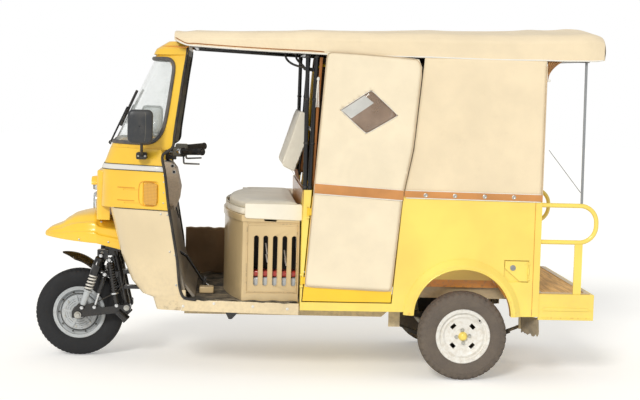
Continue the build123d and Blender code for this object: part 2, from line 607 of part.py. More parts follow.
hanger_y = (-RAIL_Y - 34, -RAIL_Y - 20 - SEAT_GAP)
for x, z_top in ((-SPRING_HALF, RAIL_KICK_Z - 36), (SPRING_HALF, RAIL_KICK_Z - 10)):
    chassis += pair(block(around(x, 30), hanger_y, (EYE_Z - 24, z_top)))
chassis += pair(block(around(FLAP_X - 40, 20), (-RAIL_Y - 90, -RAIL_Y - 20),
                      (RAIL_TAIL_Z - 60, RAIL_TAIL_Z - 48)))
chassis += pair(block(around(FLAP_X - 40, 20), (-RAIL_Y - 22, -RAIL_Y - 10),
                      (RAIL_TAIL_Z - 60, RAIL_TAIL_Z + 20)))
parts["chassis_frame"] = chassis - head_bore

# --- rear axle and springs ------------------------------------------------------------------------
beam = rod((0, -HALF_TRACK + 60, REAR_R), (0, HALF_TRACK - 60, REAR_R), BEAM_R)
stub = rod((0, -HALF_TRACK - 50, REAR_R), (0, HALF_TRACK + 50, REAR_R), AXLE_R)
casing = Pos(0, 0, REAR_R) * Sphere(110)
drum = disc((0, REAR_R), DRUM_R, -HALF_TRACK + 34 + DRUM_WIDTH, -HALF_TRACK + 38)
parts["rear_axle"] = beam + stub + casing + drum + mirrored(drum)
LEAF = 9.0
LEAF_HALVES = (SPRING_HALF, 280.0, 210.0, 140.0)
leaf_r = (SPRING_HALF ** 2 + SPRING_RISE ** 2) / (2 * SPRING_RISE)
leaf_centre = (0, SPRING_TOP_Z + leaf_r)
leaf_y = around(-RAIL_Y, 20)
leaves = []
for index, half in enumerate(LEAF_HALVES):
    sheet = disc(leaf_centre, leaf_r + LEAF * (index + 1), *leaf_y)
    sheet -= disc(leaf_centre, leaf_r + LEAF * index, *around(-RAIL_Y, 30))
    leaves.append(sheet & block(around(0, half), leaf_y, (0, EYE_Z + 40)))
eyes = [disc((x, EYE_Z), 20, *leaf_y) for x in (-SPRING_HALF, SPRING_HALF)]
parts["leaf_springs"] = pair(joined(leaves + eyes))

# --- rear quarters --------------------------------------------------------------------------------
# The line of the door's rear edge: station and height.
REAR_EDGE = ((-388, 440), (-346, 972), (-299, 1214), (-257, 1690))
door_lean = (HINGE_HEAD[0] - HINGE_FOOT[0]) / (HINGE_HEAD[1] - HINGE_FOOT[1])


def hinge_x(z):
    return HINGE_FOOT[0] + (z - HINGE_FOOT[1]) * door_lean


def door_rear_x(z):
    for (x0, z0), (x1, z1) in zip(REAR_EDGE, REAR_EDGE[1:]):
        if z <= z1:
            return x0 + (x1 - x0) * (z - z0) / (z1 - z0)
    return REAR_EDGE[-1][0]


SKIRT_Z = BODY_BOTTOM_Z - 14
pillar_gap = DOOR_FRONT - DOOR_GAP
outline = [(BULKHEAD_X, BODY_BOTTOM_Z), (BULKHEAD_X + 6, PILLAR_TOP_Z),
           (hinge_x(PILLAR_TOP_Z) + pillar_gap, PILLAR_TOP_Z),
           (hinge_x(SILL_TOP_Z) + pillar_gap, SILL_TOP_Z), (door_rear_x(SILL_TOP_Z) + DOOR_GAP, SILL_TOP_Z),
           (door_rear_x(QUARTER_TOP_Z) + DOOR_GAP, QUARTER_TOP_Z), (QUARTER_REAR_X, QUARTER_TOP_Z - 8),
           (QUARTER_REAR_X, SKIRT_Z), (ARCH_X + ARCH_R, SKIRT_Z), (ARCH_X - ARCH_R, BODY_BOTTOM_Z)]
quarter = side_plate(outline, BODY_HALF, BODY_HALF - WALL)
arch = disc((ARCH_X, ARCH_Z), ARCH_R, -BODY_HALF - OVERRUN, -BODY_HALF + OVERRUN)
band = disc((ARCH_X, ARCH_Z), ARCH_R + ARCH_BAND, -BODY_HALF - FLARE_OUT, -BODY_HALF)
band = chamfer(band.edges().group_by(Axis.Y)[0], FLARE_OUT - 4, 30)
band -= block(around(0, 500), (-BODY_HALF - OVERRUN, -BODY_HALF + OVERRUN), (0, SKIRT_Z))
arch_foot = block(around(ARCH_X, ARCH_R), (-BODY_HALF - OVERRUN, -BODY_HALF + OVERRUN),
                  (ARCH_Z - 140, ARCH_Z))

HATCH_X = (208.0, 330.0)
HATCH_Z = (536.0, 642.0)
HATCH_GAP = 5.0
HATCH_PIN_R = 2.0
HATCH_SHEET = 6.0
LUG = 8.0
hatch_hole = block((HATCH_X[0] - HATCH_GAP, HATCH_X[1] + HATCH_GAP), (-BODY_HALF - 1, -BODY_HALF + 12),
                   (HATCH_Z[0] - HATCH_GAP, HATCH_Z[1] + HATCH_GAP))
HATCH_PIN = (HATCH_X[1] + 2, -BODY_HALF - 4)
hatch_lugs = rod((*HATCH_PIN, HATCH_Z[0]), (*HATCH_PIN, HATCH_Z[1]), HATCH_PIN_R)
lug_y = around(HATCH_PIN[1], 3)
lug_foot_x = HATCH_X[1] + HATCH_GAP
for z in (HATCH_Z[0] + LUG, HATCH_Z[1] - 2 * LUG):
    hatch_lugs += block((HATCH_PIN[0] - 3, lug_foot_x + 6), lug_y, (z, z + LUG))
    hatch_lugs += block((lug_foot_x, lug_foot_x + 6), (lug_y[0], -BODY_HALF + 4), (z, z + LUG))
quarter = quarter + band - arch - arch_foot
door_pins = []
for z in DOOR_HINGES:
    pin = rod((hinge_x(z - 34), HINGE_Y, z - 34), (hinge_x(z + 34), HINGE_Y, z + 34), HINGE_PIN_R)
    for end in (z - 34, z + 26):
        pin += block((hinge_x(z) - 12, hinge_x(z) + 5), (HINGE_Y - 5, -BODY_HALF + 4), (end, end + LUG))
    door_pins.append(pin)
left_quarter = joined([quarter - hatch_hole, hatch_lugs, *door_pins])
right_quarter = joined([mirrored(shape) for shape in (quarter, *door_pins)])
parts["rear_quarters"] = [left_quarter, right_quarter]

hatch_outline = [(HATCH_X[0], HATCH_Z[1] - 38), (HATCH_X[0], HATCH_Z[1]), (HATCH_X[1], HATCH_Z[1]),
                 (HATCH_X[1], HATCH_Z[0]), (HATCH_X[0] + 80, HATCH_Z[0])]
hatch = side_plate(hatch_outline, BODY_HALF, BODY_HALF - HATCH_SHEET)
hatch_mid = sum(HATCH_Z) / 2
hatch += rod((*HATCH_PIN, hatch_mid - 16), (*HATCH_PIN, hatch_mid + 16), 5)
pin_room = rod((*HATCH_PIN, HATCH_Z[0] - 9), (*HATCH_PIN, HATCH_Z[1] + 9), HATCH_PIN_R + HUB_CLEARANCE)
parts["filler_hatch"] = hatch - pin_room

# --- cabin tub, bench -----------------------------------------------------------------------------
TUB_HALF = BODY_HALF - WALL - 0.4
WELL_HALF = BODY_HALF - 142
tub_low = FLOOR_Z - FLOOR_THICK
well_x = around(0, WELL_HALF_LENGTH)
full_y = around(0, TUB_HALF)
tub_floor = block((BULKHEAD_X, QUARTER_REAR_X), full_y, (tub_low, FLOOR_Z))
floor_cut = block(well_x, around(0, TUB_HALF + 1), (0, WELL_TOP_Z - SHEET))
well_roof = block((well_x[0], QUARTER_REAR_X), full_y, (WELL_TOP_Z - SHEET, WELL_TOP_Z))
well_front = block((well_x[0] - SHEET, well_x[0]), full_y, (tub_low, WELL_TOP_Z))
well_wall = block(well_x, (-WELL_HALF - 8, -WELL_HALF), (RAIL_KICK_Z + 70, WELL_TOP_Z - SHEET))
back_wall = block((QUARTER_REAR_X - SHEET, QUARTER_REAR_X), full_y, (tub_low, QUARTER_TOP_Z - 8))
bulkhead = block((BULKHEAD_X, BULKHEAD_X + SHEET), full_y, (tub_low, PILLAR_TOP_Z - 2))
tub = joined([tub_floor - floor_cut, well_roof, well_front, back_wall, bulkhead, *pair(well_wall)])
rail_room = rail_plate(3) & block((-434, RAIL_REAR_X), around(0, BODY_HALF), (0, QUARTER_TOP_Z))
cross_room = block((well_x[0] - SHEET - 1, -272), around(0, RAIL_Y), (tub_low, RAIL_KICK_Z + CROSS_HALF + 3))
hanger_rooms = [block(around(x, 33), (-RAIL_Y - 37, -RAIL_Y), (0, RAIL_KICK_Z))
                for x in (-SPRING_HALF, SPRING_HALF)]
parts["cabin_tub"] = tub - pair(rail_room) - cross_room - [s for room in hanger_rooms for s in pair(room)]

BENCH_TOP_Z = 780.0
BENCH_BACK_X = QUARTER_REAR_X - SHEET - 79
BENCH_CUSHION = 100.0
BENCH_BACK_TOP_Z = 1240.0
bench_front_x = -200.0
bench_half = TUB_HALF - 34
bench_z = BENCH_TOP_Z + SEAT_GAP
cushion_x = (bench_front_x - 20, BENCH_BACK_X - SEAT_GAP)
back_x = (BENCH_BACK_X, QUARTER_REAR_X - SHEET - SEAT_GAP)
parts["bench_base"] = block((bench_front_x, back_x[1]), around(0, bench_half - 10),
                            (WELL_TOP_Z + SEAT_GAP, BENCH_TOP_Z))
seat = fillet(block(cushion_x, around(0, bench_half), (bench_z, bench_z + BENCH_CUSHION)).edges(), 18)
bench_back = fillet(block(back_x, around(0, bench_half), (bench_z, BENCH_BACK_TOP_Z)).edges(), 18)
parts["bench_cushions"] = [seat, bench_back]

# --- doors ----------------------------------------------------------------------------------------
STEEL_TOP_Z = 960.0
LOOP_R = 9.0
door_low = SILL_TOP_Z + DOOR_GAP
steel = side_plate([(hinge_x(door_low) + DOOR_FRONT, door_low),
                    (hinge_x(STEEL_TOP_Z) + DOOR_FRONT, STEEL_TOP_Z),
                    (door_rear_x(STEEL_TOP_Z), STEEL_TOP_Z), (door_rear_x(door_low), door_low)],
                   BODY_HALF, BODY_HALF - DOOR_THICK)
loop_y = -BODY_HALF + LOOP_R + 1
loop_low = STEEL_TOP_Z - 5
loop_top = CANVAS_TOP_Z - 58
loop = tube([(hinge_x(loop_low) + 26, loop_y, loop_low), (hinge_x(loop_top) + 26, loop_y, loop_top),
             (door_rear_x(loop_top) - 14, loop_y, loop_top),
             (door_rear_x(loop_low) - 14, loop_y, loop_low)], 60, LOOP_R)
door = steel + loop
for z in DOOR_HINGES:
    leaf_x = hinge_x(z) + DOOR_FRONT
    barrel = rod((hinge_x(z - 20), HINGE_Y, z - 20), (hinge_x(z + 20), HINGE_Y, z + 20), 2 * HINGE_PIN_R)
    leaf = block((hinge_x(z) + 2, leaf_x + 2.5), (HINGE_Y - 3, -BODY_HALF - 0.4), around(z, 18))
    leaf += block((leaf_x, leaf_x + 2.5), (HINGE_Y - 3, -BODY_HALF + 6), around(z, 18))
    bore = rod((hinge_x(z - 60), HINGE_Y, z - 60), (hinge_x(z + 60), HINGE_Y, z + 60),
               HINGE_PIN_R + HUB_CLEARANCE)
    door = door + barrel + leaf - bore
CANVAS_LOW_Z = 487.0
canvas_front = DOOR_FRONT + 5
canvas = side_plate([(hinge_x(CANVAS_LOW_Z) + canvas_front, CANVAS_LOW_Z),
                     (hinge_x(CANVAS_TOP_Z) + canvas_front, CANVAS_TOP_Z),
                     (-300, CANVAS_TOP_Z - 26), (-262, CANVAS_TOP_Z - 48), (door_rear_x(1214), 1214),
                     (door_rear_x(QUARTER_TOP_Z), QUARTER_TOP_Z),
                     (door_rear_x(CANVAS_LOW_Z), CANVAS_LOW_Z - 17)],
                    BODY_HALF + DOOR_SKIN, BODY_HALF)
DIAMOND = [(-526, 1519), (-381, 1390), (-545, 1290), (-684, 1411)]
canvas -= side_plate(DIAMOND, BODY_HALF + 30, BODY_HALF - 30)
parts["door_left"] = door
parts["door_left_canvas"] = canvas
parts["door_right"] = mirrored(door)
parts["door_right_canvas"] = mirrored(canvas)

# --- rear deck, bumper, rails ---------------------------------------------------------------------
BUMPER_WALL = 15.6
PLATE_HOLE_R = 3.2
PLATE_SPACING = 220.0
PLATE_Z = 401.0
deck_front = QUARTER_REAR_X + 0.4
deck_inner = TRIM_HALF - BUMPER_WALL - 0.4
parts["rear_deck"] = block((deck_front, DECK_REAR_X - BUMPER_WALL - 0.4), around(0, deck_inner),
                           (DECK_Z - DECK_THICK, DECK_Z))
bumper = block((deck_front, DECK_REAR_X), around(0, TRIM_HALF), (BUMPER_BOTTOM_Z, DECK_Z))
bumper -= block((deck_front - 1, DECK_REAR_X - BUMPER_WALL), around(0, TRIM_HALF - BUMPER_WALL),
                (BUMPER_BOTTOM_Z - 1, DECK_Z + 1))
rib_z = BUMPER_BOTTOM_Z + 58
rib = block((deck_front + 24, DECK_REAR_X - 30), (-TRIM_HALF - 4, -TRIM_HALF + 4), around(rib_z, 9))
plate_hole = rod((DECK_REAR_X - BUMPER_WALL - 1, PLATE_SPACING / 2, PLATE_Z),
                 (DECK_REAR_X + 1, PLATE_SPACING / 2, PLATE_Z), PLATE_HOLE_R)
parts["rear_bumper"] = joined([bumper, *pair(rib)]) - pair(plate_hole)
RAIL_BEND = 88.0
rail_end = RAIL_REAR_X - RAIL_TUBE_R
rail_y = -TRIM_HALF + RAIL_TUBE_R
rail_loop = tube([(deck_front, rail_y, RAIL_TOP_Z), (rail_end, rail_y, RAIL_TOP_Z),
                  (rail_end, rail_y, RAIL_LOW_Z),
                  (deck_front, rail_y, RAIL_LOW_Z)], RAIL_BEND, RAIL_TUBE_R)
upright = block(around(598, 21), (rail_y - 6, rail_y + 3), (DECK_Z + 0.4, RAIL_LOW_Z - 4))
parts["rear_rails"] = pair(rail_loop + upright)

# --- canopy and curtains --------------------------------------------------------------------------
# column meaning: x, half width, lower edge, shoulder and crown heights
canopy_sections = [
    (CANOPY_FRONT_X, TRIM_HALF - 66, 1722, 1766, 1812),
    (CANOPY_FRONT_X + 773, TRIM_HALF, 1694, 1786, 1838),
    (300, TRIM_HALF, 1694, 1800, 1868),
    (CANOPY_REAR_X - 50, TRIM_HALF, 1698, 1816, 1888),
    (CANOPY_REAR_X, TRIM_HALF - 12, 1704, 1796, 1862),
]
SHOULDER_IN = 60.0
LAST = len(canopy_sections) - 1


def canopy_loft(inset, drop):
    """The canopy's outer form, or the hollow under it when an inset is given."""
    faces = []
    for index, (x, half, low, shoulder, top) in enumerate(canopy_sections):
        w = half - inset
        foot = low - drop
        knee = shoulder - 10 - inset
        bend = shoulder + 30 - inset
        sides = Polyline((-w + SHOULDER_IN, bend), (-w, knee), (-w, foot), (w, foot), (w, knee),
                         (w - SHOULDER_IN, bend))
        crown = ThreePointArc((w - SHOULDER_IN, bend), (0, top - inset), (-w + SHOULDER_IN, bend))
        shift = inset if index == 0 else -inset if index == LAST else 0
        plane = Plane(origin=(x + shift, 0, 0), x_dir=(0, 1, 0), z_dir=(1, 0, 0))
        faces.append(plane * make_face(sides + crown))
    return loft(faces, ruled=True)


header_room = block(around(CANOPY_FRONT_X, 24), around(0, TRIM_HALF - 100), (1690, CAB_TOP_Z + 3))
parts["canopy"] = canopy_loft(0, 0) - canopy_loft(FABRIC, 10) - header_room

CURTAIN_TOP_Z = canopy_sections[2][2] - SEAT_GAP
curtain_low = QUARTER_TOP_Z + 0.4
curtain_rear_x = QUARTER_REAR_X - 3
curtain = side_plate([(door_rear_x(QUARTER_TOP_Z) + DOOR_GAP, curtain_low),
                      (door_rear_x(1214) + DOOR_GAP, 1214),
                      (door_rear_x(CURTAIN_TOP_Z) + DOOR_GAP, CURTAIN_TOP_Z), (curtain_rear_x, CURTAIN_TOP_Z),
                      (curtain_rear_x, curtain_low)], TRIM_HALF + 2, TRIM_HALF - 4)
parts["side_curtains"] = pair(curtain)
curtain_top_rear = HOOP_Z - STRINGER_R - 0.5 - SEAT_GAP
parts["rear_curtain"] = block((curtain_rear_x - 9, curtain_rear_x - 3), around(0, TRIM_HALF - 12),
                              (QUARTER_TOP_Z, curtain_top_rear))

# --- roof frame -----------------------------------------------------------------------------------
FRONT_HOOP_HALF = TRIM_HALF - 106
FRONT_HOOP_Z = HOOP_Z + 24
STRINGER_FRONT_X = -850.0
TAIL_POST_X = 606.0
TAIL_POST_R = 7.0
# column meaning: side, station of the foot, station of the head
POSTS = ((-1, -855, -856), (-1, -830, -808), (1, -842, -838), (1, -828, -790))
# column meaning: station, half width, height
HOOPS = ((CANOPY_FRONT_X + 102, FRONT_HOOP_HALF, FRONT_HOOP_Z), (-832, STRINGER_Y, HOOP_Z),
         (-200, STRINGER_Y, HOOP_Z),
         (QUARTER_REAR_X - 9, STRINGER_Y, HOOP_Z), (600, STRINGER_Y, HOOP_Z))
frame = [rod((x, -half, z), (x, half, z), ROOF_TUBE_R) for x, half, z in HOOPS]
for side, foot_x, head_x in POSTS:
    foot = (foot_x, side * (BODY_HALF - 12), PILLAR_TOP_Z + 0.8)
    frame.append(rod(foot, (head_x, side * STRINGER_Y, HOOP_Z), POST_R))
front_stringer = rod((CANOPY_FRONT_X + 86, -FRONT_HOOP_HALF - 2, FRONT_HOOP_Z), (-832, -STRINGER_Y, HOOP_Z),
                     STRINGER_R)
stringer = rod((STRINGER_FRONT_X, -STRINGER_Y, HOOP_Z), (TAIL_POST_X + 14, -STRINGER_Y, HOOP_Z),
               STRINGER_R + 0.5)
tail_post = rod((TAIL_POST_X, -STRINGER_Y, HOOP_Z),
                (TAIL_POST_X, rail_y, RAIL_TOP_Z + RAIL_TUBE_R + SEAT_GAP), TAIL_POST_R)
frame += pair(front_stringer) + pair(stringer) + pair(tail_post)
back_bar_z = 1300.0
back_lean = (BACK_OUTLINE[1][0] - BACK_OUTLINE[2][0]) / (BACK_OUTLINE[1][1] - BACK_OUTLINE[2][1])
back_bar_x = BACK_OUTLINE[1][0] - back_lean * (BACK_OUTLINE[1][1] - back_bar_z) + 10.5
frame.append(rod((back_bar_x, -BODY_HALF + 20, back_bar_z), (back_bar_x, BODY_HALF - 20, back_bar_z), 10))
parts["roof_frame"] = joined(frame)

# --- sheet, flaps ---------------------------------------------------------------------------------
sheet_x = (NOSE_X + 455, BOX_REAR_X - 26)
parts["right_side_sheet"] = block(sheet_x, (BODY_HALF - 52, BODY_HALF - 46), (FLOOR_Z + 0.4, 668))
FLAP_SIZE = (130.0, 6.0, 111.0)
FLAP_TURN = -55
flap_z = RAIL_TAIL_Z - 60 - FLAP_SIZE[2] / 2 - SEAT_GAP
flap = Pos(FLAP_X, -RAIL_Y - 105, flap_z) * Rot(0, 0, FLAP_TURN) * Box(*FLAP_SIZE)
parts["mudflaps"] = pair(flap)

# --- write the nodes ------------------------------------------------------------------------------
os.makedirs("parts", exist_ok=True)
for name, shape in parts.items():
    solids = shape if isinstance(shape, list) else [shape]
    pieces = [Pos(ORIGIN_SHIFT, 0, 0) * solid for item in solids for solid in item.solids()]
    export_step(Compound(label=name, children=pieces) if len(pieces) > 1 else pieces[0], f"parts/{name}.step")
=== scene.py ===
"""The looks of an auto rickshaw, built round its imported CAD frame.

Places are given in the vehicle's own millimetres: X rearwards from the rear axle, Y to the right of
the middle, Z up from the ground.  at() turns them into the frame's metres.
"""
import bmesh
import bpy
import math
import random
from mathutils import Matrix, Vector, noise


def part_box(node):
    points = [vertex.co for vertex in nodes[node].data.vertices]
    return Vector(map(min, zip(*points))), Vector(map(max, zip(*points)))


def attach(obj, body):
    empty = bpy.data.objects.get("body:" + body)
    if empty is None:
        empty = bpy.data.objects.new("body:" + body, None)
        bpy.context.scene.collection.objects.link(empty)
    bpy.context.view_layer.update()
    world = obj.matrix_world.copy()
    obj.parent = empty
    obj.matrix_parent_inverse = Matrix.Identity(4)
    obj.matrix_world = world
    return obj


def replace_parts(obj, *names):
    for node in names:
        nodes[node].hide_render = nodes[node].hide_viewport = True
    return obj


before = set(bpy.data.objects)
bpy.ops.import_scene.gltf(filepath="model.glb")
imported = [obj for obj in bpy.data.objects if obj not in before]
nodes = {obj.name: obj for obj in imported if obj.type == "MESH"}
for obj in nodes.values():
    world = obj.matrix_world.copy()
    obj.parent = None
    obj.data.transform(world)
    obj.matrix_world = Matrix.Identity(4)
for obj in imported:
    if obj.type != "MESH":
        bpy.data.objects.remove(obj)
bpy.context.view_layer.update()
scene = bpy.context.scene
MM = 0.001
Y_AXIS = Vector((0, 1, 0))
SIDES = (("left", -1), ("right", 1))

# --- driving sizes, read from the frame or repeated from the part's source ------------------------
REAR_AXLE_X = sum(corner.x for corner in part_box("rear_rim_left")) / 2
REAR_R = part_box("rear_tyre_left")[1].z / 2 / MM
FRONT_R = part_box("front_tyre")[1].z / 2 / MM
FRONT_AXLE_X = -2060.0
HALF_TRACK = 554.0
TYRE_HALF = 57.0
BODY_HALF = 612.0
TRIM_HALF = 606.0
NOSE_X = -1955.0
FIREWALL_X = -1640.0


def at(x, y, z):
    """A place in vehicle millimetres, as a point of the frame in metres."""
    return Vector((REAR_AXLE_X + x * MM, y * MM, z * MM))


def hue(code):
    """A colour written as six hex digits, as linear light."""
    channels = [int(code[i:i + 2], 16) / 255 for i in (0, 2, 4)]
    return tuple(c / 12.92 if c <= 0.04045 else ((c + 0.055) / 1.055) ** 2.4 for c in channels)


def shaded(colour, factor):
    return tuple(min(1.0, c * factor) for c in colour)


# --- materials ------------------------------------------------------------------------------------
DUST = hue("B9A88C")
materials = {}


class Finish:
    """Short-hand for the nodes of one procedural material."""

    def __init__(self, name, colour, roughness, metallic=0.0, **sockets):
        self.material = bpy.data.materials.new(name)
        self.material.use_nodes = True
        self.tree = self.material.node_tree
        self.shader = self.tree.nodes["Principled BSDF"]
        self.shader.inputs["Base Color"].default_value = (*colour, 1)
        self.shader.inputs["Roughness"].default_value = roughness
        self.shader.inputs["Metallic"].default_value = metallic
        for socket, value in sockets.items():
            self.shader.inputs[socket.replace("_", " ")].default_value = value
        self.place = self.add("ShaderNodeTexCoord").outputs["Object"]
        materials[name] = self.material

    def add(self, kind, **settings):
        node = self.tree.nodes.new(kind)
        for key, value in settings.items():
            setattr(node, key, value)
        return node

    def link(self, source, target):
        self.tree.links.new(source, target)

    def feed(self, socket, value):
        """Links an output, or sets a plain value."""
        if isinstance(value, bpy.types.NodeSocket):
            self.link(value, socket)
        elif isinstance(value, tuple) and len(value) == 3:
            socket.default_value = (*value, 1)
        else:
            socket.default_value = value

    def noise(self, scale, detail=3.0, rough=0.5, stretch=None):
        """Cloudy noise, the scale in cells per metre, stretched along an axis where asked."""
        node = self.add("ShaderNodeTexNoise")
        node.inputs["Scale"].default_value = scale
        node.inputs["Detail"].default_value = detail
        node.inputs["Roughness"].default_value = rough
        self.link(self.stretched(stretch) if stretch else self.place, node.inputs["Vector"])
        return node.outputs["Fac"]

    def stretched(self, scale):
        node = self.add("ShaderNodeMapping")
        node.inputs["Scale"].default_value = scale
        self.link(self.place, node.inputs["Vector"])
        return node.outputs["Vector"]

    def range(self, value, low, high, start=0.0, end=1.0):
        """Maps low..high to start..end, smoothly and clamped."""
        node = self.add("ShaderNodeMapRange", interpolation_type="SMOOTHSTEP")
        self.feed(node.inputs["Value"], value)
        for socket, number in (("From Min", low), ("From Max", high), ("To Min", start), ("To Max", end)):
            node.inputs[socket].default_value = number
        return node.outputs["Result"]

    def math(self, operation, a, b):
        node = self.add("ShaderNodeMath", operation=operation)
        self.feed(node.inputs[0], a)
        self.feed(node.inputs[1], b)
        return node.outputs[0]

    def mix(self, share, a, b):
        node = self.add("ShaderNodeMix", data_type="RGBA")
        self.feed(node.inputs["Factor"], share)
        self.feed(node.inputs["A"], a)
        self.feed(node.inputs["B"], b)
        return node.outputs["Result"]

    def axis(self, letter):
        node = self.add("ShaderNodeSeparateXYZ")
        self.link(self.place, node.inputs[0])
        return node.outputs[letter]

    def edges(self, low, high):
        geometry = self.add("ShaderNodeNewGeometry")
        return self.range(geometry.outputs["Pointiness"], low, high)

    def wave(self, direction, scale):
        node = self.add("ShaderNodeTexWave", bands_direction=direction)
        node.inputs["Scale"].default_value = scale
        self.link(self.place, node.inputs["Vector"])
        return node.outputs["Fac"]

    def colour(self, value):
        self.feed(self.shader.inputs["Base Color"], value)

    def rough(self, value):
        self.feed(self.shader.inputs["Roughness"], value)

    def bump(self, height, strength, distance):
        node = self.add("ShaderNodeBump")
        node.inputs["Strength"].default_value = strength
        node.inputs["Distance"].default_value = distance
        self.feed(node.inputs["Height"], height)
        self.link(node.outputs["Normal"], self.shader.inputs["Normal"])


def enamel(name, code, dust=0.5, dust_top=0.75, roughness=0.28, ripple=0.35, worn=None):
    """Sprayed enamel on pressed steel: faint clouds and dents, road dust low down, chips at the edges."""
    base = hue(code)
    f = Finish(name, base, roughness, Coat_Weight=0.35, Coat_Roughness=0.12)
    cloud = f.noise(2.6, 4)
    fine = f.noise(46, 6, 0.65)
    streak = f.noise(1.0, 5, 0.6, stretch=(26, 26, 3))
    tone = f.mix(f.range(cloud, 0.32, 0.7), shaded(base, 0.9), shaded(base, 1.06))
    low = f.range(f.axis("Z"), 0.26, dust_top, 1.0, 0.0)
    grime = f.math("MULTIPLY", low, f.range(fine, 0.35, 0.7))
    grime = f.math("MAXIMUM", f.math("MULTIPLY", grime, dust), f.range(streak, 0.66, 0.86, 0.0, 0.22 * dust))
    tone = f.mix(grime, tone, DUST)
    chip = f.math("MULTIPLY", f.edges(0.56, 0.66), f.range(fine, 0.52, 0.62))
    f.colour(f.mix(f.math("MULTIPLY", chip, 0.6), tone, worn or shaded(base, 0.45)))
    f.rough(f.math("ADD", roughness, f.math("MULTIPLY", grime, 0.5)))
    f.bump(f.math("ADD", f.math("MULTIPLY", fine, 0.06), f.noise(3.4, 2)), ripple, 0.006)


def cloth(name, code, weave=900.0, stain=0.07, roughness=0.75, crease=0.5, sheen=0.25, dust=0.25):
    """Coated canvas or vinyl cloth: a fine square weave, soft stains and small creases."""
    base = hue(code)
    f = Finish(name, base, roughness, Sheen_Weight=sheen, Sheen_Roughness=0.5)
    threads = f.math("ADD", f.wave("X", weave / 6.28), f.wave("Z", weave / 6.28))
    threads = f.math("ADD", threads, f.wave("Y", weave / 6.28))
    cloud = f.noise(3.2, 5, 0.6)
    blot = f.noise(9.0, 6, 0.7)
    tone = f.mix(f.range(cloud, 0.3, 0.72), shaded(base, 1 - stain), shaded(base, 1.04))
    tone = f.mix(f.range(threads, 0.3, 2.7, 0.0, 0.16), tone, shaded(base, 0.78))
    f.colour(f.mix(f.range(blot, 0.58, 0.8, 0.0, dust), tone, DUST))
    f.rough(f.range(blot, 0.3, 0.8, roughness - 0.08, roughness + 0.1))
    folds = f.math("MULTIPLY", f.noise(7.0, 3, 0.5, stretch=(1.0, 1.0, 0.55)), crease)
    f.bump(f.math("ADD", folds, f.math("MULTIPLY", threads, 0.03)), 0.5, 0.012)


def bare(name, code, roughness, dust, metallic=1.0):
    """Plated, polished or cast metal with a dusty film and dull patches."""
    base = hue(code)
    f = Finish(name, base, roughness, metallic)
    patch = f.noise(60, 6, 0.6)
    film = f.range(f.noise(12, 5, 0.6), 0.45, 0.75, 0.0, dust)
    f.colour(f.mix(film, f.mix(f.range(patch, 0.3, 0.7), shaded(base, 0.8), shaded(base, 1.05)), DUST))
    f.rough(f.range(patch, 0.3, 0.75, roughness, roughness + 0.25))
    f.bump(patch, 0.12, 0.002)


def rubber(name, code, dust=0.4, roughness=0.7, grain=180.0, dust_code=None):
    """Rubber or textured plastic: fine grain, dust in the hollows and paler scuffs."""
    base = hue(code)
    f = Finish(name, base, roughness)
    grit = f.noise(grain, 4, 0.6)
    cloud = f.noise(14, 5, 0.65)
    share = f.math("MULTIPLY", f.range(cloud, 0.35, 0.68), dust)
    dusty = hue(dust_code) if dust_code else DUST
    f.colour(f.mix(share, f.mix(grit, shaded(base, 0.7), shaded(base, 1.3)), dusty))
    f.rough(f.range(cloud, 0.3, 0.7, roughness, min(0.98, roughness + 0.18)))
    f.bump(grit, 0.35, 0.0015)


def plain_glass(name, code, roughness, alpha):
    """A thin clear sheet with a dusty film and fine scratches."""
    f = Finish(name, hue(code), roughness, Specular_IOR_Level=0.7, Coat_Weight=0.6)
    smear = f.noise(5.0, 6, 0.65)
    scratch = f.noise(1.0, 4, 0.6, stretch=(60, 60, 9))
    f.colour(f.mix(f.range(smear, 0.35, 0.7), hue(code), shaded(hue(code), 1.2)))
    haze = f.math("ADD", f.range(smear, 0.35, 0.75, 0.0, 0.14), f.range(scratch, 0.6, 0.8, 0.0, 0.06))
    f.feed(f.shader.inputs["Alpha"], f.math("ADD", haze, alpha))
    f.rough(f.range(smear, 0.3, 0.7, roughness, roughness + 0.12))
    f.bump(smear, 0.04, 0.004)


enamel("front_yellow", "FFCD40", dust=0.15, ripple=0.3)
enamel("rear_yellow", "FFE06A", dust=0.15, dust_top=0.6, ripple=0.4, worn=hue("E08A2C"))
enamel("nose_beige", "EAD6AE", dust=0.3, ripple=0.4, worn=hue("8A7A60"))
# the nose's beige darkened for the seat box, which stands in shade: painted shade
enamel("painted_shade_beige", "D8BE8E", dust=0.3, ripple=0.4, worn=hue("8A7A60"))
# yellow as it looks in shade, for the insides of the wheel arches, grooves, seams, the side lamp's edge and
# the header trim: painted shade
enamel("painted_shade_orange", "E89A1E", dust=0.4, ripple=0.4)
enamel("tank_red", "B4281E", dust=0.3, ripple=0.2)
enamel("chassis_paint", "D6C39A", dust=0.8, roughness=0.45, ripple=0.4)
enamel("interior_brown", "A8743A", dust=0.3, roughness=0.4)
enamel("black_paint", "0D0D10", dust=0.03, roughness=0.22, ripple=0.2, worn=hue("26262A"))
enamel("rim_white", "F0EFEA", dust=0.35, dust_top=0.5, roughness=0.4)
enamel("rim_silver", "C2C7CA", dust=0.15, dust_top=0.3, roughness=0.3)
enamel("door_yellow", "FFCE2A", dust=0.15, dust_top=0.4, ripple=0.4, worn=hue("E08A2C"))
enamel("grey_paint", "8E9194", dust=0.3, roughness=0.4)
enamel("piping_metal", "E9E7E0", dust=0.4, roughness=0.35)
enamel("guard_black", "17120F", dust=0.15, roughness=0.18)
bare("chrome", "E6E8EA", 0.12, 0.08)
bare("zinc", "C9C9C4", 0.32, 0.3)
bare("cast_alloy", "A9ABAD", 0.5, 0.4, metallic=0.7)
bare("spring_iron", "3A3631", 0.7, 0.6, metallic=0.5)
bare("axle_iron", "2E2A27", 0.7, 0.5, metallic=0.4)
rubber("front_tyre", "1A1B1E", dust=0.05, dust_code="6E6A66")
rubber("rear_tyre", "645B53", dust=0.45, roughness=0.8, dust_code="7C7165")
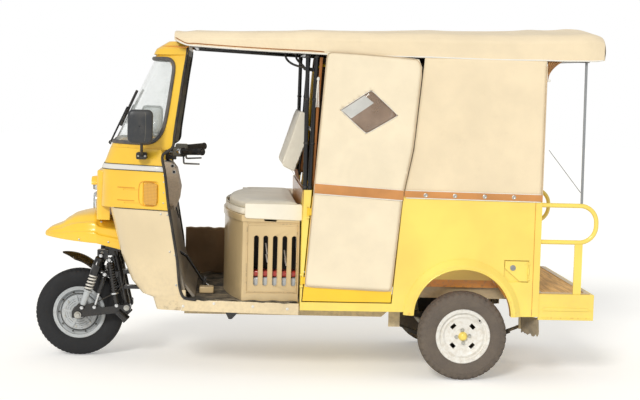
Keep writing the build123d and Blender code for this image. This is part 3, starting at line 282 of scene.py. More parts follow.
rubber("black_plastic", "1A1B1E", dust=0.06, roughness=0.4)
rubber("dark_rubber", "1B1B1D", dust=0.1, roughness=0.6)
rubber("grey_plastic", "5F5F58", dust=0.2, roughness=0.5)
rubber("grey_rubber", "48484C", dust=0.2, roughness=0.45)
rubber("mirror_plastic", "303337", dust=0.05, roughness=0.35)
rubber("cover_plastic", "E2D2BE", dust=0.2, roughness=0.5, grain=90)
rubber("speckled_board", "8E867A", dust=0.55, roughness=0.8, grain=240, dust_code="A89B86")
rubber("floor_mat", "34332F", dust=0.5, roughness=0.9, grain=300)
rubber("flap_rubber", "857A69", dust=0.6, roughness=0.95)
cloth("canvas", "F5E3C1", crease=0.6, dust=0.12)
cloth("door_cloth", "F8EACD", crease=0.7, dust=0.1)
cloth("lining", "4B3726", stain=0.3, crease=0.8, dust=0.3)
cloth("brown_band", "DB9858", stain=0.25, crease=0.3, dust=0.12)
cloth("piping", "F6F2E8", weave=1600, stain=0.06, crease=0.1, dust=0.1)
cloth("seat_vinyl", "F8F1DF", weave=500, stain=0.08, roughness=0.42, sheen=0.1, crease=0.35)
cloth("seat_welt", "CFC4A8", weave=500, roughness=0.5, crease=0.1)
cloth("brown_sheet", "9C7E5E", stain=0.3, crease=0.8, dust=0.3)
cloth("gold_curtain", "C8975A", stain=0.2, crease=0.3)
cloth("tan_cloth", "A8692E", stain=0.25, crease=0.4)
cloth("piping_tan", "D9C2A0", weave=1600, stain=0.06, crease=0.1, dust=0.1)
cloth("white_yarn", "F4F0E6", weave=1600, crease=0.2)
plain_glass("windscreen_glass", "E4EFEC", 0.04, 0.12)
plain_glass("clear_film", "9C8470", 0.16, 0.62)
# a paler film for a corner of the door windows: painted reflection
plain_glass("painted_reflection_film", "D6D6D2", 0.16, 0.75)
plain_glass("lamp_glass", "DDE3E8", 0.06, 0.25)
plain_glass("mirror_face", "9AA0A4", 0.05, 0.95)


def lens_plastic(name, code, rib):
    """A ribbed lamp lens: clear bright colour over a darker ground."""
    base = hue(code)
    f = Finish(name, base, 0.12, Coat_Weight=1.0, Coat_Roughness=0.04)
    ribs = f.math("MULTIPLY", f.wave("Z", rib / 6.28), f.wave("X", rib / 6.28))
    f.colour(f.mix(ribs, shaded(base, 0.62), shaded(base, 1.15)))
    f.bump(ribs, 0.5, 0.002)


lens_plastic("amber_lens", "FBB533", 260)
lens_plastic("red_lens", "C4201C", 500)
lens_plastic("pale_lens", "C3C9CC", 380)


def deck_finish():
    """Brown oiled boards running across the platform, worn along their seams."""
    base = hue("F0BC78")
    f = Finish("deck_board", base, 0.6)
    grain = f.noise(1.0, 8, 0.65, stretch=(60, 4, 60))
    board = f.noise(9.0, 1, 0.2, stretch=(1, 0.05, 1))
    tone = f.mix(f.range(grain, 0.3, 0.7), shaded(base, 0.6), shaded(base, 1.25))
    tone = f.mix(f.range(board, 0.35, 0.65, 0.0, 0.5), tone, shaded(base, 0.7))
    f.colour(f.mix(f.range(f.noise(16, 6, 0.7), 0.5, 0.8, 0.0, 0.5), tone, DUST))
    f.bump(grain, 0.4, 0.003)


deck_finish()


# --- building pieces ------------------------------------------------------------------------------
# the slot of each finish whose name isn't a slot itself
SLOTS = {finish: slot for slot, finishes in {
    "rear_yellow": ("door_yellow", "painted_shade_orange"),
    "nose_beige": ("painted_shade_beige",),
    "chassis_paint": ("grey_paint",),
    "black_steel": ("black_paint",),
    "rim_silver": ("chrome", "zinc"),
    "rim_white": ("piping_metal",),
    "engine_iron": ("tank_red", "cast_alloy"),
    "spring_steel": ("spring_iron",),
    "tyre": ("front_tyre",),
    "tyre_dusty": ("rear_tyre",),
    "black_plastic": ("dark_rubber", "grey_plastic", "grey_rubber", "mirror_plastic", "guard_black"),
    "dash_beige": ("cover_plastic", "speckled_board"),
    "flap_rubber": ("floor_mat",),
    "canvas": ("door_cloth", "piping", "piping_tan", "white_yarn"),
    "seat_vinyl": ("seat_welt",),
    "dark_sheet": ("lining", "brown_band", "brown_sheet", "gold_curtain", "tan_cloth"),
    "glass": ("windscreen_glass", "clear_film", "painted_reflection_film", "lamp_glass", "mirror_face"),
    "amber_lens": ("red_lens",),
    "lamp_lens": ("pale_lens",),
}.items() for finish in finishes}
SHARP = math.radians(38)
CLOTH_THICK = 2.2


def placed(piece, finish, body):
    """Gives a piece its material and lets it ride on a body."""
    scene.collection.objects.link(piece)
    piece.data.materials.append(materials[finish])
    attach(piece, body)
    SLOTS.get(finish, finish)
    return piece


def modify(piece, name, kind, **settings):
    """Adds a modifier and sets it up."""
    step = piece.modifiers.new(name, kind)
    for key, value in settings.items():
        setattr(step, key, value)


class Form:
    """Gathers one piece's points and faces.  Places are points of the frame; sizes are in millimetres."""

    def __init__(self):
        self.points = []
        self.faces = []

    def add(self, points):
        """Adds points and returns their numbers."""
        first = len(self.points)
        self.points.extend(Vector(p) for p in points)
        return list(range(first, len(self.points)))

    def skin(self, rings, caps=False):
        """A closed skin through rings of point numbers, all with the same count."""
        for a, b in zip(rings, rings[1:]):
            for i in range(len(a)):
                j = (i + 1) % len(a)
                self.faces.append((a[i], a[j], b[j], b[i]))
        if caps:
            self.faces += [tuple(reversed(rings[0])), tuple(rings[-1])]
        return self

    def hoop(self, centre, side, up, radius, count):
        """Points round a centre, in the plane of two directions."""
        angles = [2 * math.pi * i / count for i in range(count)]
        return self.add(centre + (side * math.cos(a) + up * math.sin(a)) * (radius * MM) for a in angles)

    def turned(self, centre, axis, profile, sides=24, caps=True):
        """A form turned about an axis; the profile is (along, radius) pairs."""
        run = Vector(axis).normalized()
        side = run.orthogonal().normalized()
        return self.skin([self.hoop(centre + run * (along * MM), side, run.cross(side), radius, sides)
                          for along, radius in profile], caps)

    def tube(self, path, radius, sides, closed=False):
        """A round bar along a path."""
        count = len(path)
        side = None
        rings = []
        for i, point in enumerate(path):
            before = path[(i - 1) % count] if closed or i else point
            after = path[(i + 1) % count] if closed or i < count - 1 else point
            run = (after - before).normalized()
            side = run.orthogonal() if side is None else side - run * side.dot(run)
            side.normalize()
            rings.append(self.hoop(point, side, run.cross(side), radius, sides))
        if closed:
            first, last = rings[0], self.points[rings[-1][0]]
            start = min(range(sides), key=lambda k: (self.points[first[k]] - last).length)
            rings.append(first[start:] + first[:start])
        return self.skin(rings, caps=not closed)

    def grid(self, rows):
        """A sheet through rows of points."""
        numbers = [self.add(row) for row in rows]
        for a, b in zip(numbers, numbers[1:]):
            for c in range(len(a) - 1):
                self.faces.append((a[c], a[c + 1], b[c + 1], b[c]))
        return self

    def prism(self, outline, offset):
        """A plate: an outline of points, thickened by an offset."""
        base = self.add(outline)
        moved = self.add(Vector(p) + Vector(offset) * MM for p in outline)
        return self.skin([moved, base], caps=True)

    def box(self, low, high):
        """A box between two corners given in vehicle millimetres."""
        (x0, y0, z0), (x1, y1, z1) = low, high
        return self.prism([at(x0, y0, z0), at(x1, y0, z0), at(x1, y1, z0), at(x0, y1, z0)], (0, 0, z1 - z0))

    def bolt(self, centre, axis, radius, height=None):
        """A hexagon head on its washer."""
        tall = height or radius * 0.8
        self.turned(centre, axis, [(0, radius * 1.3), (tall * 0.25, radius * 1.3)], 16)
        self.turned(centre + Vector(axis).normalized() * tall * 0.25 * MM, axis,
                    [(0, radius), (tall * 0.8, radius), (tall, radius * 0.8)], 6)

    def screw(self, centre, axis, radius):
        """A low domed screw head."""
        profile = [(0, radius), (radius * 0.25, radius * 0.92), (radius * 0.45, radius * 0.5)]
        self.turned(centre, axis, profile, 14)

    def piece(self, name, finish, body="body", bevel=0.0, thick=0.0, smooth=0, offset=1.0, angle=SHARP):
        """Makes the object; bevel, thick and smooth add the modifiers of those names."""
        mesh = bpy.data.meshes.new(name)
        mesh.from_pydata([tuple(p) for p in self.points], [], self.faces)
        mesh.update()
        mesh.shade_smooth()
        made = placed(bpy.data.objects.new(name, mesh), finish, body)
        if thick:
            modify(made, "thickness", "SOLIDIFY", thickness=thick * MM, offset=offset)
        if smooth:
            modify(made, "smooth", "SUBSURF", levels=smooth, render_levels=smooth)
        else:
            mesh.set_sharp_from_angle(angle=angle)
        if bevel:
            modify(made, "edges", "BEVEL", width=bevel * MM, segments=2, limit_method="ANGLE",
                   angle_limit=math.radians(40), harden_normals=False)
        return made


def rod(name, finish, path, radius, body="body", sides=8, closed=False, smooth=0):
    """A round piece along a path, such as piping, a seam, a hem or a pipe."""
    return Form().tube(path, radius, sides, closed).piece(name, finish, body, smooth=smooth)


def side_box(name, finish, side, low, high, bevel):
    """A box whose corners are given for the right side, placed on either side."""
    near, far = sorted((side * low[1], side * high[1]))
    Form().box((low[0], near, low[2]), (high[0], far, high[2])).piece(name, finish, bevel=bevel)


def smooth_line(points, steps=10):
    """Points of a Catmull-Rom curve through the given places."""
    knots = [Vector(p) for p in points]
    knots = [knots[0] * 2 - knots[1]] + knots + [knots[-1] * 2 - knots[-2]]
    line = []
    for a, b, c, d in zip(knots, knots[1:], knots[2:], knots[3:]):
        for i in range(steps):
            t = i / steps
            line.append(0.5 * ((2 * b) + (c - a) * t + (2 * a - 5 * b + 4 * c - d) * t * t
                               + (3 * b - a - 3 * c + d) * t ** 3))
    line.append(knots[-2])
    return line


def mirror_y(points):
    return [Vector((p.x, -p.y, p.z)) for p in points]


def on_side(points, side):
    """Points of the left side, mirrored for the right."""
    return points if side < 0 else mirror_y(points)


def both_halves(line):
    """A left half line that starts in the middle, completed by its mirror image."""
    return list(reversed(mirror_y(line[1:]))) + line


def turned_over(rows):
    """The rows of a sheet with its other face outwards."""
    return [list(reversed(row)) for row in rows]


def facing(rows, side):
    """The rows of a left or right sheet, so that its face looks outwards."""
    return rows if side < 0 else turned_over(rows)


def sheet_rows(columns, rows, place):
    """Rows of points; place(u, v) is asked at even shares from 0 to 1."""
    return [[place(c / columns, r / rows) for c in range(columns + 1)] for r in range(rows + 1)]


def lined(form, name, finish, body="body"):
    """A cloth sheet whose inner face shows the darker lining."""
    sheet = form.piece(name, finish, body, thick=CLOTH_THICK, offset=-1.0)
    sheet.modifiers["thickness"].material_offset = 1
    sheet.data.materials.append(materials["lining"])
    return sheet


def around(count, radius, turn=0.0):
    """Even (x, z) steps round a wheel's middle, in millimetres."""
    angles = [2 * math.pi * i / count + turn for i in range(count)]
    return [(radius * math.cos(a), radius * math.sin(a)) for a in angles]


def dress(node, finish, bevel):
    """Gives a CAD node a procedural finish and smooth shading across its shallow edges."""
    item = nodes[node]
    item.data.materials.clear()
    item.data.materials.append(materials[finish])
    for face in item.data.polygons:
        face.material_index = 0
    if bevel:
        modify(item, "weld", "WELD", merge_threshold=0.02 * MM)
        modify(item, "edges", "BEVEL", width=bevel * MM, segments=3, limit_method="ANGLE",
               angle_limit=math.radians(35))


# --- camera, light and floor ----------------------------------------------------------------------
CAMERA_AT = Vector((-0.4672, -8.3617, 1.5627))
YAW, PITCH, ROLL = 0.0635, 0.0798, 0.0277
FOCAL_PIXELS, PICTURE_WIDE = 1500.0, 640.0


def make_camera():
    forward = Vector((math.sin(YAW) * math.cos(PITCH), math.cos(YAW) * math.cos(PITCH), -math.sin(PITCH)))
    right = Vector((math.cos(YAW), -math.sin(YAW), 0))
    up = right.cross(forward)
    right, up = right * math.cos(ROLL) + up * math.sin(ROLL), up * math.cos(ROLL) - right * math.sin(ROLL)
    camera = bpy.data.objects.new("camera", bpy.data.cameras.new("camera"))
    camera.data.sensor_width = 36.0
    camera.data.lens = 36.0 * FOCAL_PIXELS / PICTURE_WIDE
    camera.data.clip_end = 200.0
    turn = Matrix((right, up, -forward)).transposed()
    camera.matrix_world = Matrix.Translation(CAMERA_AT) @ turn.to_4x4()
    scene.collection.objects.link(camera)
    scene.camera = camera


def make_world(strength):
    world = bpy.data.worlds.new("studio")
    scene.world = world
    world.use_nodes = True
    tree = world.node_tree
    soft = tree.nodes["Background"]
    soft.inputs["Color"].default_value = (1.0, 0.985, 0.96, 1)
    soft.inputs["Strength"].default_value = strength
    white = tree.nodes.new("ShaderNodeBackground")
    white.inputs["Color"].default_value = (1, 1, 1, 1)
    path = tree.nodes.new("ShaderNodeLightPath")
    seen = tree.nodes.new("ShaderNodeMath")
    seen.operation = "MAXIMUM"
    mixed = tree.nodes.new("ShaderNodeMixShader")
    tree.links.new(path.outputs["Is Camera Ray"], seen.inputs[0])
    tree.links.new(path.outputs["Is Transmission Ray"], seen.inputs[1])
    tree.links.new(seen.outputs[0], mixed.inputs["Fac"])
    tree.links.new(soft.outputs[0], mixed.inputs[1])
    tree.links.new(white.outputs[0], mixed.inputs[2])
    tree.links.new(mixed.outputs[0], tree.nodes["World Output"].inputs["Surface"])


def make_sun(direction, strength, spread, tint):
    """A broad soft lamp; it shines along the direction and its spread is in degrees."""
    data = bpy.data.lights.new("key", "SUN")
    data.energy = strength
    data.angle = math.radians(spread)
    data.color = tint
    lamp = bpy.data.objects.new("key", data)
    lamp.rotation_mode = "QUATERNION"
    lamp.rotation_quaternion = Vector(direction).to_track_quat("-Z", "Y")
    scene.collection.objects.link(lamp)


FLOOR_GLOW = 0.28


def make_floor():
    f = Finish("floor", hue("F6F6F4"), 0.9)
    f.colour(f.mix(f.range(f.noise(0.7, 3), 0.3, 0.7), hue("F4F4F2"), hue("F8F8F6")))
    path = f.add("ShaderNodeLightPath")
    seen = f.math("MAXIMUM", path.outputs["Is Camera Ray"], path.outputs["Is Glossy Ray"])
    seen = f.math("MAXIMUM", seen, path.outputs["Is Transmission Ray"])
    f.shader.inputs["Emission Color"].default_value = (1, 1, 1, 1)
    f.feed(f.shader.inputs["Emission Strength"], f.math("MULTIPLY", seen, FLOOR_GLOW))
    bpy.ops.mesh.primitive_plane_add(size=60)
    floor = bpy.context.object
    floor.name = "floor"
    floor.data.materials.append(f.material)


scene.view_settings.view_transform = "Standard"
make_camera()
make_world(0.62)
make_sun((0.34, 0.80, -0.50), 1.6, 14.0, (1.0, 0.98, 0.94))
make_floor()


# --- finishes of the CAD nodes that show as they are ----------------------------------------------
# the nodes of each finish, with the width of their softened edges in millimetres
DRESSED = {
    "chassis_paint": {"chassis_frame": 1.5},
    "nose_beige": {"cab_floor": 2, "nose_apron": 0},
    "front_yellow": {"cowl": 0, "cab_frame": 0},
    "windscreen_glass": {"windscreen": 0},
    "black_plastic": {"mirrors": 0, "hugger": 0},
    "speckled_board": {"dash_panel": 2},
    # the seat box takes the darker beige: painted shade
    "painted_shade_beige": {"seat_box": 2},
    "black_paint": {"roof_frame": 0, "pedals": 1, "fork": 1, "handlebar": 1, "fork_arms": 1.5,
        "shock_absorbers": 0},
    "rear_yellow": {"rear_quarters": 0, "cabin_tub": 1.5, "bench_base": 3, "rear_bumper": 2.5,
        "rear_rails": 0, "filler_hatch": 1},
    "deck_board": {"rear_deck": 2},
    "axle_iron": {"rear_axle": 0},
    "spring_iron": {"leaf_springs": 1},
    "pale_lens": {"headlamps": 0},
    "amber_lens": {"signal_lamps": 1.5},
    "rim_silver": {"front_rim": 0},
    "rim_white": {"rear_rim_left": 0, "rear_rim_right": 0},
    "door_yellow": {"door_left": 1.5, "door_right": 1.5},
    "cast_alloy": {"engine": 2},
    "flap_rubber": {"mudflaps": 0},
    "front_tyre": {"front_tyre": 0},
    "rear_tyre": {"rear_tyre_left": 0, "rear_tyre_right": 0},
}
for finish, group in DRESSED.items():
    for node, softened in group.items():
        dress(node, finish, softened)


# --- canopy ---------------------------------------------------------------------------------------
CANOPY_FRONT_X, CANOPY_REAR_X = -1548.0, 698.0
# column meaning: station, half width, lower edge, shoulder and crown heights
CANOPY_SECTIONS = (
    (CANOPY_FRONT_X, 540, 1750, 1766, 1812),
    (CANOPY_FRONT_X + 64, 545.5, 1720, 1767.7, 1814),
    (-775, 606, 1694, 1786, 1838),
    (300, 606, 1694, 1800, 1868),
    (648, 606, 1698, 1816, 1888),
    (CANOPY_REAR_X, 594, 1704, 1796, 1862),
)
HOOPS = (CANOPY_FRONT_X, -1446, -832, -200, 385, 600, CANOPY_REAR_X)
SHOULDER_IN = 60.0
HOOP_SAG = 7.0
CANOPY_ACROSS = 44


def canopy_at(x):
    """Half width, lower edge, shoulder and crown of the canopy at a station."""
    for low, high in zip(CANOPY_SECTIONS, CANOPY_SECTIONS[1:]):
        if x <= high[0]:
            share = (x - low[0]) / (high[0] - low[0])
            return [a + (b - a) * share for a, b in zip(low[1:], high[1:])]
    return list(CANOPY_SECTIONS[-1][1:])


def between(x, stops):
    """0 on a stop, rising to 1 halfway between two stops."""
    for low, high in zip(stops, stops[1:]):
        if x <= high:
            share = (x - low) / (high - low)
            return 4 * share * (1 - share)
    return 0.0


def crinkle(point, scale, size):
    """A small steady waviness, the same on every run."""
    return noise.noise(Vector(point) * scale) * size


def canopy_top(x, y):
    half, _, shoulder, crown = canopy_at(x)
    flat = half - SHOULDER_IN
    edge = shoulder + 30
    if abs(y) >= flat:
        share = min(1.0, (abs(y) - flat) / SHOULDER_IN)
        return edge - 40 * share ** 2.2
    return edge + (crown - edge) * (1 - (y / flat) ** 2)


def canopy_row(x):
    """The cloth's line over the roof at a station: up the left skirt, across, and down the right."""
    half, low, shoulder, _ = canopy_at(x)
    loose = between(x, HOOPS)
    skirt = []
    for k in range(7):
        slack = loose * (1 - k / 7)
        skirt.append((x, 4 * slack - half, low + (shoulder - 10 - low) * k / 7 - 3 * slack))
    top = []
    for k in range(CANOPY_ACROSS + 1):
        y = -half + 2 * half * k / CANOPY_ACROSS
        top.append((x, y, canopy_top(x, y) - HOOP_SAG * loose * (1 - (y / half) ** 8)))
    line = skirt + top + [(x, -y, z) for x, y, z in reversed(skirt)]
    return [at(*p) + Vector((0, 0, crinkle(p, 0.006, 2.2 * MM))) for p in line]


def canopy_end(x, bow, foot):
    """The end wall at a station, hanging from the roof's line to its foot."""
    half = canopy_at(x)[0]

    def place(u, v):
        y = -half + 2 * half * u
        top = canopy_top(x, y)
        return at(x + bow * math.sin(math.pi * v), y, top + (foot - top) * v)

    return sheet_rows(CANOPY_ACROSS, 7, place)


def canopy_sheet():
    length = CANOPY_REAR_X - CANOPY_FRONT_X
    form = Form().grid(turned_over([canopy_row(CANOPY_FRONT_X + length * i / 84) for i in range(85)]))
    form.grid(canopy_end(CANOPY_FRONT_X, 0, 1750))
    form.grid(turned_over(canopy_end(CANOPY_REAR_X, 5, 1704)))
    sheet = lined(form, "canopy_cloth", "canvas")
    modify(sheet, "weld", "WELD", merge_threshold=MM)
    sheet.modifiers.move(1, 0)
    modify(sheet, "smooth", "SUBSURF", levels=1, render_levels=1)
    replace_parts(sheet, "canopy")


canopy_sheet()


def canopy_rim(name, side, x_from, x_to, up, radius, finish, out=2.0):
    """A piped line along the canopy's lower edge, a little above and outside it."""
    path = []
    for i in range(40):
        x = x_from + (x_to - x_from) * i / 39
        half, low = canopy_at(x)[:2]
        loose = between(x, HOOPS)
        path.append(at(x, side * (half - 4 * loose + out), low - 3 * loose + up))
    rod(name, finish, path, radius, smooth=1)


for hand, side in SIDES:
    canopy_rim(f"canopy_hem_{hand}", side, CANOPY_FRONT_X + 4, CANOPY_REAR_X - 2, 3, 4.5, "piping")
    canopy_rim(f"canopy_line_{hand}", side, CANOPY_FRONT_X + 4, -770, 15, 3.2, "tan_cloth", 0.5)

# --- side curtains --------------------------------------------------------------------------------
REAR_EDGE = ((-388, 440), (-346, 972), (-299, 1214), (-257, 1690))
HINGE_FOOT, HINGE_HEAD = (-868.0, 370.0), (-775.0, 1713.0)
CURTAIN_LOW_Z, CURTAIN_TOP_Z = 974.0, 1697.0
CURTAIN_REAR_X = 391.0


def on_line(stops, z):
    """The station of a bent line at a height; its stops are (station, height)."""
    for (x0, z0), (x1, z1) in zip(stops, stops[1:]):
        if z <= z1:
            return x0 + (x1 - x0) * (z - z0) / (z1 - z0)
    return stops[-1][0]


def hinge_x(z):
    return on_line((HINGE_FOOT, HINGE_HEAD), min(z, HINGE_HEAD[1]))


def curtain_bulge(x, z, u, v):
    """How far the curtain stands out from its plane: fuller low down, pinched at its snaps."""
    full = 9 * math.sin(math.pi * u) * (0.35 + 0.65 * math.sin(math.pi * min(1, v * 1.1)))
    return full * 0.5 + crinkle((x, z, 3), 0.007, 5.0) * math.sin(math.pi * u) * math.sin(math.pi * v)


def side_curtain(hand, side):
    def place(u, v):
        z = CURTAIN_LOW_Z + (CURTAIN_TOP_Z - CURTAIN_LOW_Z) * v
        x0 = on_line(REAR_EDGE, z) + 7
        x = x0 + (CURTAIN_REAR_X - x0) * u
        return at(x, side * (TRIM_HALF + curtain_bulge(x, z, u, v)), z)

    form = Form().grid(facing(sheet_rows(36, 36, place), side))
    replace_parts(lined(form, f"side_curtain_{hand}", "canvas"), "side_curtains")


for hand, side in SIDES:
    side_curtain(hand, side)


def flank_strip(name, side, stops, tall, proud, thick, finish, body):
    """A flat strip sewn along a run of (station, height) stops on the body's side."""
    upper, lower = [[at(x, side * (BODY_HALF + proud), z - fall) for x, z in stops] for fall in (0, tall)]
    rows = [upper, lower] if side > 0 else [lower, upper]
    Form().grid(rows).piece(name, finish, body, thick=thick, offset=1.0, bevel=0.6)


BAND_FRONT, BAND_REAR = (-336, 1000), (CURTAIN_REAR_X + 2, 993)
SNAP_X = (-225.0, -71.0, 86.0, 240.0)
SNAP_Z = 979.0
for hand, side in SIDES:
    strip = [[a + (b - a) * i / 13 for a, b in zip(BAND_FRONT, BAND_REAR)] for i in range(14)]
    flank_strip(f"curtain_band_{hand}", side, strip, 34, 1.0, 3.0, "brown_band", "body")
    for part, proud, up, radius in (("piping", 3.5, -37, 3), ("stitch", 2.5, 2, 2.4)):
        line = [at(x, side * (BODY_HALF + proud), z + up) for x, z in strip]
        rod(f"curtain_{part}_{hand}", "piping", line, radius, smooth=1)
    snaps = Form()
    for x in SNAP_X:
        snaps.turned(at(x, side * (BODY_HALF + 4), SNAP_Z), (0, side, 0),
                     [(0, 11), (3, 11), (4, 8), (2.6, 5), (4.4, 4)], 20)
    snaps.piece(f"curtain_snaps_{hand}", "zinc")
    edge = [at(CURTAIN_REAR_X + 1, side * (TRIM_HALF + 3), z) for z in range(980, 1700, 30)]
    rod(f"curtain_edge_{hand}", "piping_tan", edge, 3, smooth=1)


def rear_curtain_place(u, v):
    y, z = 594 * (2 * u - 1), 973 + (1688 - 973) * v
    pleat = 5 * math.sin(math.pi * v) * abs(math.sin(u * 25.2))
    return at(386 - pleat + crinkle((y, z, 9), 0.006, 5), y, z)


rear_curtain = Form().grid(sheet_rows(60, 24, rear_curtain_place))
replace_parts(lined(rear_curtain, "rear_curtain_cloth", "canvas"), "rear_curtain")

# --- doors ----------------------------------------------------------------------------------------
CANVAS_LOW_Z, CANVAS_TOP_Z = 487.0, 1708.0
DOOR_REAR_LINE = ((-390, 470), (-346, 972), (-299, 1214), (-262, 1660), (-258, 1700))
DIAMOND = ((-526, 1519), (-381, 1390), (-545, 1290), (-684, 1411))


def door_point(u, v, side, lift=0.0):
    """A place on the door's canvas: u from hinge to rear edge, v from foot to top."""
    top = CANVAS_TOP_Z - 26 * max(0.0, u) ** 1.5
    z = CANVAS_LOW_Z - 17 * u + (top - CANVAS_LOW_Z + 17 * u) * v
    x0 = hinge_x(z) + 17
    x1 = on_line(DOOR_REAR_LINE, z)
    if z > 1640:
        x1 -= (z - 1640) * 0.5
    x = x0 + (x1 - x0) * u
    fade = math.sin(math.pi * min(1, max(0, u))) * math.sin(math.pi * min(1, max(0, v)))
    out = 3.0 + 2.0 * fade + crinkle((x, z, side * 7), 0.006, 4.5) * fade
    return at(x, side * (BODY_HALF + out + lift), z)


def cut_hole(piece, corners):
    """Cuts a straight-sided hole, given by (station, height) corners, out of a sheet."""
    mesh = bmesh.new()
    mesh.from_mesh(piece.data)
    spots = [at(x, 0, z) for x, z in corners]
    middle = sum(spots, Vector()) / len(spots)
    planes = []
    for a, b in zip(spots, spots[1:] + spots[:1]):
        normal = (b - a).cross(Y_AXIS).normalized()
        if normal.dot(middle - a) > 0:
            normal.negate()
        planes.append((a, normal))
        geometry = mesh.verts[:] + mesh.edges[:] + mesh.faces[:]
        bmesh.ops.bisect_plane(mesh, geom=geometry, plane_co=a, plane_no=normal)
    inside = [f for f in mesh.faces if all(n.dot(f.calc_center_median() - a) < 0 for a, n in planes)]
    bmesh.ops.delete(mesh, geom=inside, context="FACES")
    mesh.to_mesh(piece.data)
    mesh.free()


def door_cover(hand, side):
    body = f"door_{hand}"
    rows = sheet_rows(26, 60, lambda u, v: door_point(u, v, side))
    sheet = lined(Form().grid(facing(rows, side)), f"door_cloth_{hand}", "door_cloth", body)
    cut_hole(sheet, DIAMOND)
    sheet.data.shade_smooth()
    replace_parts(sheet, f"door_{hand}_canvas")
    out = Vector((0, side * MM, 0))
    a, b, c, d = [at(x, side * (BODY_HALF + 3.5), z) for x, z in DIAMOND]

    def pane(u, v):
        belly = math.sin(math.pi * v) * math.sin(math.pi * u)
        return a.lerp(d, v).lerp(b.lerp(c, v), u) + out * 2.5 * belly

    Form().grid(sheet_rows(8, 8, pane)).piece(f"door_window_{hand}", "clear_film", body, thick=0.8)
    border = []
    for p, q in zip((a, b, c, d), (b, c, d, a)):
        border += [p.lerp(q, t) + out * 2 for t in (0.03, 0.3, 0.7, 0.97)]
    rod(f"door_window_piping_{hand}", "piping", border, 2.0, body, closed=True, smooth=1)
    # a paler patch over the window's upper corner: painted reflection
    patch = [d + (a - d) * u + (c - d) * v + out * 2.2
             for u, v in ((0.02, 0.03), (0.76, 0.03), (0.78, 0.36), (0.03, 0.38))]
    Form().prism(patch, (0, side * 0.6, 0)).piece(f"door_window_reflection_{hand}", "painted_reflection_film", body)
    edge = [(0, k / 24) for k in range(25)] + [(k / 12, 1) for k in range(1, 13)]
    edge += [(1, 1 - k / 24) for k in range(1, 25)] + [(1 - k / 12, 0) for k in range(1, 12)]
    rod(f"door_piping_{hand}", "piping_tan", [door_point(u, v, side, 2) for u, v in edge], 2.6, body,
        closed=True, smooth=1)


DOOR_BAND = ((-852, 1027), (-342, 1001))
for hand, side in SIDES:
    door_cover(hand, side)
    stops = []
    for i in range(16):
        u = i / 15
        z = DOOR_BAND[0][1] + (DOOR_BAND[1][1] - DOOR_BAND[0][1]) * u
        x0 = hinge_x(z) + 17
        stops.append((x0 + (on_line(DOOR_REAR_LINE, z) - x0) * u, z))
    flank_strip(f"door_band_{hand}", side, stops, 50, 5.5, 2.5, "brown_band", f"door_{hand}")
    for name, fall, radius in (("upper", -1, 1.6), ("lower", 53, 3.0)):
        line = [at(x, side * (BODY_HALF + 7), z - fall) for x, z in stops]
        rod(f"door_band_piping_{name}_{hand}", "piping", line, radius, f"door_{hand}", smooth=1)


# --- padded seats ---------------------------------------------------------------------------------
SWELL_PRESSURE = 4.0
SWELL_FRAMES = 20


def remeshed(piece, voxel):
    """Turns a rough form into an even mesh of closed squares."""
    modify(piece, "remesh", "REMESH", mode="VOXEL", voxel_size=voxel)
    graph = bpy.context.evaluated_depsgraph_get()
    mesh = bpy.data.meshes.new_from_object(piece.evaluated_get(graph))
    piece.modifiers.clear()
    piece.data = mesh


def swelled(piece, cap):
    """Blows the cover up over its filling, as far as the cap lets each point go."""
    rest = [v.co.copy() for v in piece.data.vertices]
    cover = piece.modifiers.new("swell", "CLOTH")
    cover.settings.use_pressure = True
    cover.settings.uniform_pressure_force = SWELL_PRESSURE
    cover.settings.effector_weights.gravity = 0
    cover.point_cache.frame_start = 1
    cover.point_cache.frame_end = SWELL_FRAMES
    for number in range(1, SWELL_FRAMES + 1):
        scene.frame_set(number)
    graph = bpy.context.evaluated_depsgraph_get()
    moved = [v.co.copy() for v in piece.evaluated_get(graph).data.vertices]
    piece.modifiers.remove(cover)
    scene.frame_set(1)
    for vertex, start, end in zip(piece.data.vertices, rest, moved):
        step = end - start
        vertex.co = start + step * min(1.0, cap / max(step.length, 1e-9))


def cushion(name, form, voxel, cap, keep_in, replaced):
    """A padded piece; keep_in is the (low, high) corners of the space that it has."""
    piece = form.piece(name, "seat_vinyl")
    remeshed(piece, voxel)
    swelled(piece, cap)
    low, high = at(*keep_in[0]), at(*keep_in[1])
    for vertex in piece.data.vertices:
        for k in range(3):
            vertex.co[k] = min(max(vertex.co[k], low[k]), high[k])
    piece.data.shade_smooth()
    modify(piece, "smooth", "SUBSURF", levels=1, render_levels=1)
    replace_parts(piece, replaced)


def rounded_slab(outline, low, high, edge):
    """A slab over a closed X-Y outline, its upper and lower edges drawn in."""
    spots = [Vector((x, y, 0)) for x, y in outline]
    middle = sum(spots, Vector()) / len(spots)
    form = Form()
    rings = []
    for z, inset in ((low, edge * 0.5), (low + edge * 0.6, 0), (high - edge, 0),
                     (high - edge * 0.3, edge * 0.3), (high, edge)):
        drawn_in = [p + (middle - p).normalized() * inset for p in spots]
        rings.append(form.add(at(p.x, p.y, z) for p in drawn_in))
    return form.skin(rings, caps=True)


BOX_BOW_X, BOX_CORNER_X, BOX_REAR_X, BOX_HALF = -1266.0, -1171.0, -874.0, 552.0
BOX_TOP_Z, CUSHION_TOP_Z = 850.0, 918.0


def bowed_outline(grow):
    """The seat box's plan: a bowed front between its corners, and a straight rear."""
    half = BOX_HALF + grow
    corner_x, bow_x = BOX_CORNER_X - grow, BOX_BOW_X - grow
    rise = corner_x - bow_x
    radius = (half ** 2 + rise ** 2) / (2 * rise)
    reach = math.asin(half / radius)
    front = []
    for i in range(19):
        a = -reach + 2 * reach * i / 18
        front.append((bow_x + radius - radius * math.cos(a), radius * math.sin(a)))
    return front + [(BOX_REAR_X, half), (BOX_REAR_X, -half)]


